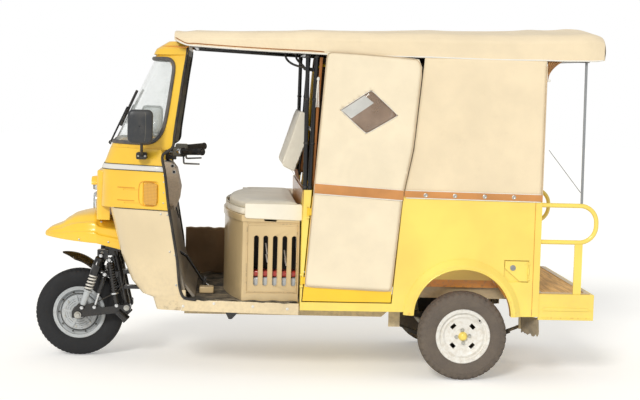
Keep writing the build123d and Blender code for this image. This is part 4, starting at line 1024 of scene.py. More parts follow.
cushion("driver_cushion",
        rounded_slab(bowed_outline(-12), BOX_TOP_Z + 2, CUSHION_TOP_Z - 6, 18), 0.010, 0.012,
        ((-1290, -556, BOX_TOP_Z + 1), (BOX_REAR_X + 3, 556, CUSHION_TOP_Z + 6)), "driver_seat")

BACK_OUTLINE = ((-872, 1397), (-834, 1378), (-841, 1215), (-896, 1063), (-960, 1090), (-964, 1112))
cushion("backrest_pad", Form().prism([at(x, -272, z) for x, z in BACK_OUTLINE], (0, 544, 0)), 0.008, 0.004,
        ((-985, -284, 1050), (-828, 284, 1410)), "driver_backrest")

# the right halves of the pads' plans, from front to rear
BENCH_SEAT = [(-214, 530), (-206, 545), (290, 548), (297, 530)]
BENCH_BACK = [(303, 530), (308, 546), (372, 546), (376, 530)]


def full_plan(right):
    return [(x, -y) for x, y in right] + list(reversed(right))


cushion("bench_seat_pad", rounded_slab(full_plan(BENCH_SEAT), 782, 872, 16), 0.014, 0.012,
        ((-221, -556, 781), (300, 556, 884)), "bench_cushions")
cushion("bench_back_pad", rounded_slab(full_plan(BENCH_BACK), 784, 1232, 16), 0.014, 0.010,
        ((300, -556, 781), (380, 556, 1241)), "bench_cushions")


# --- tyres ----------------------------------------------------------------------------------------
RIM_R = 142.0
TREAD_LUGS = 38
SIPES = 60


def tread_cut(i, y, part, lugs):
    """How deep the tread is cut at a point of the section: lugs alternate, sipes and rib notches repeat."""
    step = 5 if lugs else 4
    if part == "rib":
        return 3.0 if abs(y) > 3 and i % step == (0 if y < 0 else 2) else 0.0
    if part == "lug" and lugs:
        return 7.0 if (i + (2 if y > 0 else 0)) % step < 2 else 0.0
    return 3.0 if part == "lug" and i % step == 0 else 0.0


def tyre_piece(name, node, centre_y, radius, x, lugs, finish, body):
    """A tyre with bead, bulged walls, a grooved crown and, where asked, shoulder lugs."""
    half = TYRE_HALF
    # column meaning: distance from the wheel's middle, radius
    wall = ((44, RIM_R - 8), (46, RIM_R + 3), (50, RIM_R + 9), (54, RIM_R + 20), (half - 0.6, RIM_R + 34),
            (half, RIM_R + 46), (half - 0.6, RIM_R + 50), (half, RIM_R + 54), (half - 1.5, radius - 38))
    shoulder = ((half - 3.5, radius - 27), (half - 7, radius - 17), (half - 12, radius - 9),
                (half - 19, radius - 4.5), (half - 26, radius - 2.4))
    crown = ((29, radius - 2.0, "rib"), (27.5, radius - 7, "groove"), (23.5, radius - 7, "groove"),
             (22, radius - 1.2, "rib"), (14, radius - 0.5, "rib"), (12.5, radius - 6.5, "groove"),
             (9.5, radius - 6.5, "groove"), (8, radius - 0.2, "rib"), (0, radius, "rib"))
    outer = [(y, r, "wall") for y, r in wall] + [(y, r, "lug") for y, r in shoulder] + list(crown)
    section = [(-y, r, part) for y, r, part in outer] + list(reversed(outer[:-1]))
    count = TREAD_LUGS * 5 if lugs else SIPES * 4
    form = Form()
    middle = at(x, centre_y, radius)
    rings = []
    for y, r, part in section:
        ring = []
        for i in range(count):
            a = 2 * math.pi * i / count + (0.0 if lugs else y * 0.0009)
            reach = (r - tread_cut(i, y, part, lugs)) * MM
            ring.append(middle + Vector((reach * math.cos(a), y * MM, reach * math.sin(a))))
        rings.append(form.add(ring))
    piece = form.skin(rings + rings[:1]).piece(name, finish, body, angle=math.radians(30))
    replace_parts(piece, node)


tyre_piece("tread_front", "front_tyre", 0, FRONT_R, FRONT_AXLE_X, False, "front_tyre", "front_wheel")
for hand, side in SIDES:
    tyre_piece(f"tread_rear_{hand}", f"rear_tyre_{hand}", side * HALF_TRACK, REAR_R, 0, True, "rear_tyre",
               f"rear_wheel_{hand}")

# --- hubs and wheel nuts --------------------------------------------------------------------------
NUT_RING = 34.0
HUB_CAP = ((0, 24), (5, 24), (8, 21), (20, 19), (25, 15), (27, 8), (27.5, 2))
RIM_LIP = ((0, RIM_R - 1), (3, RIM_R + 1.5), (6.5, RIM_R - 1), (6, RIM_R - 7), (1, RIM_R - 8))
BACK_PLATE = ((0, 8), (0, 96), (-3, 98), (-7, 96), (-8, 88), (-11, 86), (-11, 78), (-8, 76), (-8, 66),
              (-13, 63), (-13, 54), (-9, 52), (-9, 38), (-16, 34), (-18, 22))
PLATE_Y = -36.0


def rim_lip(name, x, y, z, side, finish, body):
    """The rolled edge that holds the tyre's bead."""
    Form().turned(at(x, y, z), (0, side, 0), RIM_LIP, 72, caps=False).piece(name, finish, body, thick=1.2)


for hand, side in SIDES:
    body = f"rear_wheel_{hand}"
    face = side * (HALF_TRACK + 40)
    nuts = Form()
    for x, z in around(4, NUT_RING, 0.1):
        nuts.bolt(at(x, face, REAR_R + z), (0, side, 0), 8.5, 9)
        nuts.turned(at(x, face, REAR_R + z), (0, side, 0), [(0, 4.5), (14, 4.5), (15, 3.6)], 12)
    nuts.piece(f"wheel_nuts_{hand}", "zinc", body)
    Form().turned(at(0, face - side, REAR_R), (0, side, 0), HUB_CAP, 32).piece(
        f"hub_cap_{hand}", "rear_yellow", body)
    rim_lip(f"rim_edge_{hand}", 0, face + side * 5, REAR_R, side, "rim_white", body)
    stem = [at(x, face + side * out, REAR_R + x) for x, out in ((86, -6), (88, 8), (84, 18))]
    rod(f"valve_{hand}", "dark_rubber", stem, 3.4, body, sides=10)

Form().turned(at(FRONT_AXLE_X, PLATE_Y, FRONT_R), (0, 1, 0), BACK_PLATE, 72).piece(
    "brake_plate", "rim_silver", "front_wheel")
plate_bolts = Form()
for x, z in around(6, 82, 0.3):
    plate_bolts.bolt(at(FRONT_AXLE_X + x, PLATE_Y - 10, FRONT_R + z), (0, -1, 0), 5, 5)
plate_bolts.piece("brake_plate_bolts", "zinc", "front_wheel")


def radial_plate(form, turn, stops, y_inner, y_outer, thick):
    """A rib on the wheel's face; its stops are (radius, half width) at the inner and outer end."""
    out, across = Vector((math.cos(turn), 0, math.sin(turn))), Vector((-math.sin(turn), 0, math.cos(turn)))
    (r0, w0), (r1, w1) = stops
    inner = at(FRONT_AXLE_X, y_inner, FRONT_R) + out * r0 * MM
    outer = at(FRONT_AXLE_X, y_outer, FRONT_R) + out * r1 * MM
    form.prism([inner - across * w0 * MM, inner + across * w0 * MM, outer + across * w1 * MM,
                outer - across * w1 * MM], (0, -thick, 0))


ribs = Form()
for turn in range(12):
    radial_plate(ribs, math.pi / 6 * turn, ((54, 2.5), (92, 2.5)), PLATE_Y - 8, PLATE_Y - 6, 5)
ribs.piece("brake_plate_ribs", "rim_silver", "front_wheel", bevel=0.8)
for side in (-1, 1):
    rim_lip(f"front_rim_edge_{side + 1}", FRONT_AXLE_X, side * 45, FRONT_R, side, "rim_silver",
            "front_wheel")

# --- front fork, struts and springs ---------------------------------------------------------------
HEAD_X, HEAD_Z = -1884.0, 596.0
PIVOT_X, PIVOT_Z = HEAD_X + 89, HEAD_Z - 312
ARM_Y = 125.0
STRUT_Y = 151.3
# column meaning: foot x, foot z, head x, head z, sleeve radius, rod radius
STRUTS = (
    (FRONT_AXLE_X + 22, FRONT_R + 43, HEAD_X - 54, HEAD_Z - 23, 25.0, 13.0),
    (FRONT_AXLE_X + 91, FRONT_R + 47, HEAD_X - 31, HEAD_Z - 126, 12.0, 7.0),
    (PIVOT_X - 53, PIVOT_Z + 16, HEAD_X - 8, HEAD_Z - 46, 17.0, 13.0),
)


def coil(low, high, radius, turns):
    """The path of a helical spring between two places."""
    run = high - low
    side = run.normalized().orthogonal().normalized()
    up = run.normalized().cross(side)
    path = []
    steps = 18 * turns
    for i in range(steps + 1):
        share = i / steps
        a = 2 * math.pi * turns * share
        path.append(low + run * share + (side * math.cos(a) + up * math.sin(a)) * radius * MM)
    return path


def strut(index, hand, side):
    """A damper on its two eyes: a covered spring, a bare damper, or a rod in a rubber bellows."""
    foot_x, foot_z, head_x, head_z, thick, thin = STRUTS[index]
    low, top = at(foot_x, side * STRUT_Y, foot_z), at(head_x, side * STRUT_Y, head_z)
    run = top - low
    black, pale, shiny, white = Form(), Form(), Form(), Form()
    for x, z in ((foot_x, foot_z), (head_x, head_z)):
        black.turned(at(x, side * (STRUT_Y - 14), z), (0, side, 0), [(0, 13), (2, 14), (26, 14), (28, 13)])
        shiny.bolt(at(x, side * (STRUT_Y + 14), z), (0, side, 0), 7, 6)

    def stretch(form, start, end, profile):
        long = run.length * (end - start) / MM
        form.turned(low + run * start, run, [(t * long, r) for t, r in profile], 24)

    if index == 0:
        stretch(pale, 0.05, 0.33, [(0, thin), (0.1, thin + 4), (0.9, thin + 5), (1, thin + 2)])
        stretch(black, 0.33, 0.62, [(0, 9), (1, 9)])
        stretch(pale, 0.31, 0.335, [(0, 21), (0, 25), (1, 25), (1, 21)])
        white.tube(coil(low + run * 0.34, low + run * 0.63, 19, 5), 5, 8)
        stretch(black, 0.62, 0.97, [(0, thick - 3), (0.02, thick), (0.5, thick), (0.52, thick + 1.5),
                                    (0.58, thick + 1.5), (0.6, thick), (0.94, thick), (1, thick - 7)])
    elif index == 1:
        stretch(shiny, 0.05, 0.45, [(0, thin), (1, thin)])
        stretch(black, 0.42, 0.96, [(0, thick - 3), (0.04, thick), (0.9, thick), (1, thick - 4)])
    else:
        stretch(black, 0.04, 0.27, [(0, thin), (1, thin)])
        stretch(shiny, 0.24, 0.29, [(0, 15), (0.2, 21), (0.8, 21), (1, 15)])
        stretch(black, 0.28, 0.94, [(i / 24, thick + (2.2 if i % 2 else -1.5)) for i in range(25)])
    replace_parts(black.piece(f"strut_{index}_body_{hand}", "black_paint", "steering"), "shock_absorbers")
    for kind, form, finish in (("sleeve", pale, "rim_silver"), ("bright", shiny, "chrome"),
                               ("spring", white, "piping_metal")):
        if form.faces:
            form.piece(f"strut_{index}_{kind}_{hand}", finish, "steering")


for hand, side in SIDES:
    for index in range(len(STRUTS)):
        strut(index, hand, side)
    bolts = Form()
    for x, y, z, r in ((HEAD_X - 50, 137, HEAD_Z - 12, 7), (HEAD_X - 56, 137, HEAD_Z - 34, 7),
                       (HEAD_X - 34, 137, HEAD_Z - 127, 6), (HEAD_X + 12, 137, HEAD_Z - 127, 6),
                       (PIVOT_X, ARM_Y + 12, PIVOT_Z, 12), (FRONT_AXLE_X, ARM_Y + 24, FRONT_R, 15)):
        bolts.bolt(at(x, side * y, z), (0, side, 0), r)
    bolts.piece(f"fork_bolts_{hand}", "zinc", "steering")
    lip = [at(HEAD_X + x, side * 138, HEAD_Z + z) for x, z in ((-74, -44), (-74, 6), (-20, 6), (-20, -44))]
    rod(f"fork_plate_edge_{hand}", "grey_paint", lip, 2.2, "steering", closed=True)
brake_line = smooth_line([at(HEAD_X + 60, -104, HEAD_Z + 10), at(HEAD_X + 72, -122, HEAD_Z - 60),
                          at(HEAD_X + 60, -136, 400), at(FRONT_AXLE_X + 130, -142, 330),
                          at(FRONT_AXLE_X + 60, -120, 300), at(FRONT_AXLE_X + 30, -60, 320)])
rod("brake_pipe", "dark_rubber", brake_line, 3.5, "steering", smooth=1)

# --- the level outlines of nose and cab, for trim that lies on them -------------------------------
# column meaning: z, front x, front half width, rear x, rear half width, corner radius
APRON_LEVELS = ((336, -1615, 497, -1486, 527, 40), (398, -1635, 497, -1493, 531, 50),
                (414, -1693, 484, -1495, 532, 80), (475, -1752, 452, -1500, 535, 110),
                (612, -1814, 415, -1514, 539, 120), (862, -1880, 390, -1558, 545, 120))
COWL_LEVELS = ((862.3, -1930, 360, -1560, 545, 130), (1065, -1926, 350, -1586, 543, 130),
               (1178, -1885, 330, -1604, 539, 130))
CAB_LEVELS = ((1178.3, -1885, 330, -1550, 539, 130), (1652, -1664, 330, -1488, 499, 110),
              (1723, -1610, 330, -1473, 475, 90))


def level_line(levels, z, grow=0.0, corner_steps=10):
    """The left half of an outline at a height: from the middle of the front round to the rear edge."""
    low, high = levels[0], levels[-1]
    for a, b in zip(levels, levels[1:]):
        if a[0] <= z <= b[0]:
            low, high = a, b
    share = min(1.0, max(0.0, (z - low[0]) / (high[0] - low[0])))
    x0, half0, x1, half1, radius = [a + (b - a) * share for a, b in zip(low[1:], high[1:])]
    corner, rear = Vector((x0, -half0)), Vector((x1, -half1))
    flank = (rear - corner).normalized()
    front = Vector((0, 1))
    bend = math.acos(max(-1, min(1, front.dot(flank))))
    cut = radius / math.tan(bend / 2)
    start, end = corner + front * cut, corner + flank * cut
    centre = corner + (front + flank).normalized() * (radius / math.sin(bend / 2))
    line = [Vector((x0 - grow, y)) for y in (0, start.y / 2)]
    for i in range(corner_steps + 1):
        spoke = (start - centre).lerp(end - centre, i / corner_steps).normalized()
        line.append(centre + spoke * (radius + grow))
    out = Vector((flank.y, -flank.x)) * grow
    if out.y > 0:
        out = -out
    line += [end.lerp(rear, t) + out for t in (0.25, 0.5, 0.75, 1.0)]
    return [at(p.x, p.y, z) for p in line]


def on_level(levels, x, z, grow=0.0):
    """The place on the left flank or front corner at a station and height."""
    line = level_line(levels, z, grow, 24)
    spot = at(x, 0, z).x
    for a, b in zip(line[2:], line[3:]):
        if min(a.x, b.x) <= spot <= max(a.x, b.x):
            share = (spot - a.x) / (b.x - a.x) if b.x != a.x else 0.0
            return a.lerp(b, share)
    return line[-1] if spot > line[-1].x else line[2]


# --- windscreen rubber, wipers, header trim -------------------------------------------------------
SCREEN_SILL_Z, SCREEN_TOP_Z = 1206.0, 1652.0


def screen_front(z, x_end):
    """The windscreen's outline at a height, from the middle as far back as a station."""
    return [p for p in level_line(CAB_LEVELS, z, -2) if p.x < at(x_end, 0, 0).x]


screen_line = screen_front(SCREEN_SILL_Z, -1690)
screen_line += [on_level(CAB_LEVELS, x, z, -2) for x, z in
                ((-1670, 1207), (-1638, 1221), (-1609, 1257), (-1594, 1289), (-1580, 1360), (-1566, 1460),
                 (-1553, 1560), (-1547, 1600), (-1552, 1632), (-1572, 1650))]
screen_line += list(reversed(screen_front(SCREEN_TOP_Z, -1585)))
screen_loop = screen_line + list(reversed(mirror_y(screen_line[1:-1])))
rod("screen_rubber", "grey_rubber", screen_loop, 11.5, sides=10, closed=True, smooth=1)


def up_the_screen(side, stops, clear):
    """A smooth line up the glass through (y, z) stops, standing clear of it by so much."""
    line = []
    for y, z in stops:
        glass_x = level_line(CAB_LEVELS, z)[0].x
        line.append(Vector((glass_x - clear * MM, side * y * MM, z * MM)))
    return smooth_line(line, 5)


WIPER_ARM = ((230, 1200), (250, 1262), (262, 1330), (270, 1392))
WIPER_BLADE = ((205, 1290), (236, 1340), (262, 1392), (282, 1440), (292, 1480))
wiper, blade = Form(), Form()
for side in (-1, 1):
    wiper.turned(at(-1884, side * 230, 1196), (-1, 0, 0.4), [(0, 12), (10, 11), (16, 6)], 16)
    wiper.tube(up_the_screen(side, WIPER_ARM, 14), 5, 8)
    blade.tube(up_the_screen(side, WIPER_BLADE, 4), 7.5, 6)
wiper.piece("wiper_arms", "black_paint")
blade.piece("wiper_blades", "dark_rubber")

header_line = both_halves(level_line(CAB_LEVELS, 1716, 5))
# an orange line along the cab's top under the canopy: painted shadow in a groove
rod("header_trim", "painted_shade_orange", header_line, 6)
rod("header_trim_lower", "brown_band", [p + Vector((0, 0, -11 * MM)) for p in header_line], 4)

# --- chrome strip, seams and bolts on the nose ----------------------------------------------------
STRIP_Z = (1064.0, 1090.0)

strip_rows = []
for up, out in ((0, 1.6), (3, 4), (13, 5.6), (23, 4), (26, 1.6)):
    strip_rows.append(both_halves(level_line(COWL_LEVELS, STRIP_Z[0] + up, out)))
Form().grid(strip_rows).piece("chrome_strip", "piping_metal", thick=1.5, offset=0.0)
for z in (STRIP_Z[0] - 2, STRIP_Z[1] + 2):
    rod(f"strip_edge_{int(z)}", "dark_rubber", both_halves(level_line(COWL_LEVELS, z, 1.5)), 1.6)
seam = level_line(APRON_LEVELS, 860, 2)[8:]
rod("apron_seam_right", "dark_rubber", list(reversed(mirror_y(seam))), 2.0)
rod("apron_seam_left", "dark_rubber", seam, 2.0)
nose_screws = Form()
for levels, lean, radius, spots in (
        (APRON_LEVELS, 0.05, 6, ((-1522, 629), (-1549, 645), (-1512, 470), (-1565, 840), (-1600, 842))),
        (COWL_LEVELS, 0.1, 4, ((-1588, 900), (-1588, 955), (-1588, 1010), (-1588, 1045)))):
    for x, z in spots:
        p = on_level(levels, x, z, 0.5)
        for side in (-1, 1):
            nose_screws.screw(on_side([p], side)[0], (lean, side, 0), radius)
nose_screws.piece("nose_screws", "zinc")

# --- door-opening seals ---------------------------------------------------------------------------
seal = [at(-1478, -478, 1712), at(-1483, -494, 1660)]
for levels, heights in ((CAB_LEVELS, (1560, 1460, 1360, 1260, 1190)), (COWL_LEVELS, (1150, 1065, 980, 870)),
                        (APRON_LEVELS, (800, 700, 612, 540, 475))):
    seal += [level_line(levels, z, 3)[-1] + Vector((4 * MM, 0, 0)) for z in heights]
seal += [at(-1486, -541, 430), at(-1470, -546, 408), at(-1440, -550, 401), at(-1405, -552, 398)]
for hand, side in SIDES:
    rod(f"door_seal_{hand}", "dark_rubber", smooth_line(on_side(seal, side), 4), 8, sides=10, smooth=1)

# --- lamps ----------------------------------------------------------------------------------------
LAMP_Y = 190.0
# column meaning: height, lens radius, how far the lens stands out
LAMPS = ((966, 34, 26), (878, 50, 22))
HOOD_R = 44.0
SIDE_LAMP_X, SIDE_LAMP_Z = -1673.0, 944.0
for hand, side in SIDES:
    bezels, glass = Form(), Form()
    for z, r, out in LAMPS:
        bezel = [(0, r + 9), (7, r + 8), (10, r + 4), (9, r + 1)]
        bezels.turned(at(NOSE_X, side * LAMP_Y, z), (-1, 0, 0), bezel, 40, caps=False)
        dome = [(out, 1)] + [(out - 8 * (i / 6) ** 2, (r - 5) * i / 6) for i in range(1, 7)]
        glass.turned(at(NOSE_X - 0.5, side * LAMP_Y, z), (-1, 0, 0), dome, 36, caps=False)
    bezels.piece(f"lamp_bezels_{hand}", "chrome", thick=1.6)
    glass.piece(f"lamp_glasses_{hand}", "lamp_glass", thick=0.8)
    hood = []
    for i in range(13):
        y, z = HOOD_R * math.cos(math.pi * i / 12), HOOD_R * math.sin(math.pi * i / 12)
        hood.append([at(NOSE_X - out, side * LAMP_Y + y, LAMPS[0][0] + z * lift)
                     for out, lift in ((0, 1.06), (14, 1.04), (30, 0.98), (34, 0.94))])
    Form().grid(hood).piece(f"lamp_hood_{hand}", "front_yellow", thick=2, smooth=1)
for hand, side in SIDES:
    corners = on_side([on_level(COWL_LEVELS, SIDE_LAMP_X + x, SIDE_LAMP_Z + z, 1.0)
                       for x, z in ((-48, -64), (-48, 64), (48, 64), (48, -64))], side)
    # an orange line round the side lamp: painted shade at the edge of its frame
    edge = []
    for a, b in zip(corners, corners[1:] + corners[:1]):
        edge += [a.lerp(b, t) for t in (0.14, 0.5, 0.86)]
    rod(f"side_lamp_edge_{hand}", "painted_shade_orange", edge, 2.0, closed=True, smooth=1)
    tail = [at(701, side * 480 + y, 420 + z) for y, z in ((-66, -29), (66, -29), (66, 29), (-66, 29))]
    rod(f"tail_lamp_edge_{hand}", "chrome", tail, 5, closed=True)
    screws = Form()
    for y in (-50, 50):
        screws.screw(at(701, side * 480 + y, 420), (1, 0, 0), 4)
    screws.piece(f"tail_lamp_screws_{hand}", "zinc")

# --- mirrors --------------------------------------------------------------------------------------
MIRROR_X, MIRROR_Y, MIRROR_Z = NOSE_X + 245, BODY_HALF + 12, 1300.0
MIRROR_WIDE, MIRROR_TALL, MIRROR_CORNER = 63.0, 85.0, 26.0


def mirror_outline():
    """A rounded oblong about the mirror's middle, with points along its straight sides too."""
    line = []
    for corner, (right, up) in enumerate(((1, 1), (-1, 1), (-1, -1), (1, -1))):
        for i in range(7):
            a = math.pi / 2 * (corner + i / 6)
            line.append(Vector((right * (MIRROR_WIDE - MIRROR_CORNER) + MIRROR_CORNER * math.cos(a),
                                up * (MIRROR_TALL - MIRROR_CORNER) + MIRROR_CORNER * math.sin(a))))
    evened = []
    for a, b in zip(line, line[1:] + line[:1]):
        steps = max(1, round((b - a).length / 12))
        evened += [a.lerp(b, k / steps) for k in range(steps)]
    return evened


# column meaning: how far out, share of the full outline
MIRROR_PROFILE = ((-22, 0.8), (-21, 0.9), (-17, 0.97), (-8, 1), (5, 1), (11, 0.97), (15.5, 0.9),
                  (18.4, 0.78), (20.2, 0.56), (21, 0.28), (21.1, 0.004))
MIRROR_LINE = mirror_outline()


def mirror_skin(profile, side):
    form = Form()
    return form.skin([form.add(at(MIRROR_X + p.x * share, side * (MIRROR_Y + y), MIRROR_Z + p.y * share)
                               for p in MIRROR_LINE) for y, share in profile])


for hand, side in SIDES:
    shell = mirror_skin(MIRROR_PROFILE, side)
    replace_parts(shell.piece(f"mirror_shell_{hand}", "mirror_plastic", thick=2, smooth=1), "mirrors")
    mirror_skin([(-21.5, share) for share in (0.84, 0.4, 0.004)], side).piece(
        f"mirror_back_{hand}", "mirror_face", thick=1)
    # a real ridge on the mirror's back, in a lighter grey than the shell: partly painted highlight
    ridge = [at(MIRROR_X + x, side * (MIRROR_Y + y), MIRROR_Z + z) for x, y, z in
             ((24, 18.2, -74), (27, 21.3, -56), (29, 22.5, 0), (28, 21.3, 56), (24, 18.2, 74))]
    rod(f"mirror_highlight_ridge_{hand}", "grey_plastic", smooth_line(ridge, 5), 1.6, smooth=1)
    arm = [at(MIRROR_X + x, side * y, z) for x, y, z in
           ((4, MIRROR_Y - 8, MIRROR_Z - 76), (8, MIRROR_Y - 14, 1204), (6, 560, 1160), (4, 530, 1146))]
    rod(f"mirror_arm_{hand}", "black_plastic", smooth_line(arm, 6), 8, sides=14, smooth=1)
    side_box(f"mirror_bracket_{hand}", "black_plastic", side,
             (MIRROR_X - 24, 470, 1126), (MIRROR_X + 32, 542, 1162), 7)
    foot = Form()
    for x in (-12, 22):
        foot.bolt(at(MIRROR_X + x, side * 541, 1144), (0, side, 0), 5)
    foot.piece(f"mirror_bolts_{hand}", "zinc")


# --- faces of CAD nodes that take a finish of their own -------------------------------------------
def paint_faces(node, finish, chosen):
    """Gives the faces whose middle passes the test another finish; chosen gets it in vehicle millimetres."""
    item = nodes[node]
    item.data.materials.append(materials[finish])
    index = len(item.data.materials) - 1
    for face in item.data.polygons:
        c = face.center
        if chosen(Vector(((c.x - REAR_AXLE_X) / MM, c.y / MM, c.z / MM))):
            face.material_index = index


ARCH_X, ARCH_Z, ARCH_R = -13.0, 338.0, 258.0
paint_faces("dash_panel", "cover_plastic", lambda p: p.z > 793 and abs(p.y) <= 119 and p.x > FIREWALL_X + 1)
paint_faces("dash_panel", "grey_paint", lambda p: p.x < FIREWALL_X + 0.5)
paint_faces("cab_floor", "black_paint", lambda p: p.z < 335)
paint_faces("roof_frame", "grey_paint", lambda p: p.x > 590)
paint_faces("signal_lamps", "red_lens", lambda p: p.x > 650)
# the faces inside the rear wheel arches: painted shade
paint_faces("rear_quarters", "painted_shade_orange",
            lambda p: math.hypot(p.x - ARCH_X, p.z - ARCH_Z) < ARCH_R + 1 and p.z < 600)
paint_faces("handlebar", "grey_plastic", lambda p: -1560 < p.x < -1484 and 165 < abs(p.y) < 235)
paint_faces("handlebar", "grey_paint", lambda p: p.z < 1118 and p.x > -1500)
paint_faces("cabin_tub", "interior_brown", lambda p: p.z > 640 and p.x < 370)
# the cab frame's inner faces are dark grey: painted shade
paint_faces("cab_frame", "grey_plastic", lambda p: 1180 < p.z < 1700 and p.x > -1700
            and abs(p.y) < abs(on_level(CAB_LEVELS, p.x, p.z).y) / MM - 6)

# --- front wheel face -----------------------------------------------------------------------------
# dark rings on the wheel's face: painted shade in its pressed grooves
groove_shade_rings = Form()
for r, y in ((104, -34), (64, -46), (38, -47)):
    groove_shade_rings.tube([at(FRONT_AXLE_X + x, y, FRONT_R + z) for x, z in around(64, r)], 1.6, 6, closed=True)
groove_shade_rings.piece("hub_groove_shade", "dark_rubber", "front_wheel")
# the hub's holes are shallow dark discs: painted shade inside them
bosses, hub_hole_shade = Form(), Form()
for turn in range(5):
    radial_plate(bosses, 2 * math.pi * turn / 5 + 0.5, ((40, 9), (94, 5)), -44, -44, 7)
# column meaning: how many, the ring's radius, turn, place across, hole radius, depth, sides
HUB_HOLES = ((5, 82, 1.1, -43.4, 7, 1.5, 20), (10, 113, 0, -31, 4.5, 4, 14))
for count, ring_r, turn, y, r, deep, sides in HUB_HOLES:
    for x, z in around(count, ring_r, turn):
        hub_hole_shade.turned(at(FRONT_AXLE_X + x, y, FRONT_R + z), (0, -1, 0), [(0, r), (deep, r)], sides)
bosses.piece("hub_bosses", "rim_silver", "front_wheel", bevel=2)
hub_hole_shade.piece("hub_hole_shade", "dark_rubber", "front_wheel")

# --- mudguard beak --------------------------------------------------------------------------------
BEAK_TIP_X = NOSE_X - 301
# column meaning: station, half width, rim, crown
BEAK_STOPS = ((BEAK_TIP_X, 58, 672, 692), (-2226, 92, 670, 716), (-2190, 128, 667, 730),
              (-2150, 160, 664, 745), (-2138, 170, 663, 764), (-2108, 193, 662, 778), (-2098, 200, 661, 790),
              (-2060, 226, 660, 802), (-2010, 250, 657, 814), (NOSE_X - 2, 260, 654, 822))
BEAK_TAIL = ((NOSE_X + 1, 260, 654, 782), (-1900, 259, 640, 781), (-1850, 258, 628, 778),
             (-1790, 257, 614, 768))


def beak_row(x, half, rim, crown, crisp):
    """One cross section: three tiers, each set in from the one below, under a shallow crown."""
    rise = crown - rim
    ledge = crisp * 9
    # column meaning: share of the half width, how much is taken off it, share of the rise
    tiers = ((1, 1, 0.30), (1, 3, 0.34), (1, 4 + ledge, 0.36), (0.985, 5 + ledge, 0.44),
             (0.97, 6 + ledge, 0.62), (0.96, 9 + ledge, 0.66), (0.95, 12 + 2 * ledge, 0.68),
             (0.9, 14 + 2 * ledge, 0.78), (0.78, 2 * ledge, 0.90), (0.55, ledge, 0.97), (0.28, 0, 1))
    left = [(half * 0.985, rim - 4), (half, rim + 2)]
    left += [(half * wide - less, rim + rise * tall) for wide, less, tall in tiers]
    line = [(-y, z) for y, z in left] + [(0, crown + 1)] + [(y, z) for y, z in reversed(left)]
    return [at(x, y, z) for y, z in line]


def beak_tip(shrink, ahead):
    """The tip's cross section drawn in towards its middle, to round the beak off."""
    x, half, rim, crown = BEAK_STOPS[0]
    middle = (rim + crown) / 2 * MM
    return [Vector((p.x, p.y * shrink, middle + (p.z - middle) * shrink))
            for p in beak_row(x + 6 - ahead, half, rim, crown, 0.4)]


rows = [beak_tip(0.35, 6), beak_tip(0.75, 3)]
rows += [beak_row(x + (6 if i == 0 else 0), half, rim, crown, 0.4 + 0.6 * min(1, i / 3))
         for i, (x, half, rim, crown) in enumerate(BEAK_STOPS)]
rows += [beak_row(*stop, 1.0) for stop in BEAK_TAIL]
beak = Form().grid(turned_over(rows)).piece("mudguard_beak", "front_yellow", thick=3, offset=-1.0, smooth=2)
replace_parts(beak, "front_mudguard")
rivets = Form()
for x, z in ((-1948, 800), (-1930, 770), (-1890, 660), (-2050, 668)):
    for side in (-1, 1):
        half = 262 if x > -1960 else 232
        rivets.screw(at(x, side * half, z), (0, side, 0), 5)
rivets.piece("beak_rivets", "zinc")

# --- cab floor ------------------------------------------------------------------------------------
FLOOR_Z = 396.0


def floor_half(x):
    return 541 + (610 - 541) * (x + 1484) / 612


def mat_place(u, v):
    """The mat waves a little and turns up at the sills."""
    x, u = -1474 + (1474 - 878) * v, 2 * u - 1
    edge = abs(u) ** 10
    y = u * (floor_half(x) - 1 + 5 * math.sin(x * 0.045) * edge)
    up = 4.5 * edge * (0.6 + math.sin(x * 0.06 + u))
    return at(x, y, FLOOR_Z + 3.5 + up + crinkle((x, y, 0), 0.012, 1.5))


Form().grid(sheet_rows(48, 51, mat_place)).piece("floor_mat", "floor_mat", thick=4)
sill_screws = Form()
for x, z in ((-1474, 362), (-1313, 381), (-1110, 372), (-930, 366)):
    for side in (-1, 1):
        sill_screws.screw(at(x, side * (floor_half(x) + 0.3), z), (0, side, 0), 8)
sill_screws.piece("sill_screws", "piping_metal")
# the floor block takes the darker beige: painted shade
Form().box((-1395, -330, 402), (-1318, -250, 436)).piece("floor_block", "painted_shade_beige", bevel=5)
pad = [at(-1374, -236, 420), at(-1357, -236, 470), at(-1357, -164, 470), at(-1374, -164, 420)]
Form().prism(pad, (-9, 0, 3)).piece("pedal_pad", "dark_rubber", bevel=3)
rod("pedal_pin", "chrome", [at(-1362, -205, 440), at(-1345, -215, 428)], 6, sides=12)
choke = [at(-1534, -150, 848), at(-1526, -152, 826), at(-1517, -150, 790)]
rod("choke_rod", "black_paint", choke, 4, sides=10)

# --- seat box: pressed lines, tab and skirt -------------------------------------------------------
SLOT_HALF = 120.0
# the pressed lines and slot rims take the darker beige: painted shade
for hand, side in SIDES:
    pressed = Form()
    for x in (-1148, -886):
        pressed.tube([at(x, side * 553, 440), at(x, side * 553, 812)], 3, 8)
    for z in (446, 806):
        pressed.tube([at(-1148, side * 553, z), at(-886, side * 553, z)], 2, 8)
    pressed.piece(f"box_lines_{hand}", "painted_shade_beige")
    slot_rims = Form()
    for x in (-1099, -1050, -1000, -950, -901):
        slot_rims.tube([at(x + dx, side * 549.6, 611 + dz + (SLOT_HALF if dz >= 0 else -SLOT_HALF))
                        for dx, dz in around(24, 14)], 1.8, 6, closed=True)
    slot_rims.piece(f"slot_rims_{hand}", "painted_shade_beige")
skirt_rows = []
for up, out in ((34, -2), (22, 0), (10, 1), (1.5, 0)):
    end = BOX_HALF - 4 + out
    front = [(x - out, y * (1 + out / 600)) for x, y in bowed_outline(-5)[:-2]]
    line = [(BOX_REAR_X + 2, -end)] + front + [(BOX_REAR_X + 2, end)]
    skirt_rows.append([at(x, y, BOX_TOP_Z + up) for x, y in line])
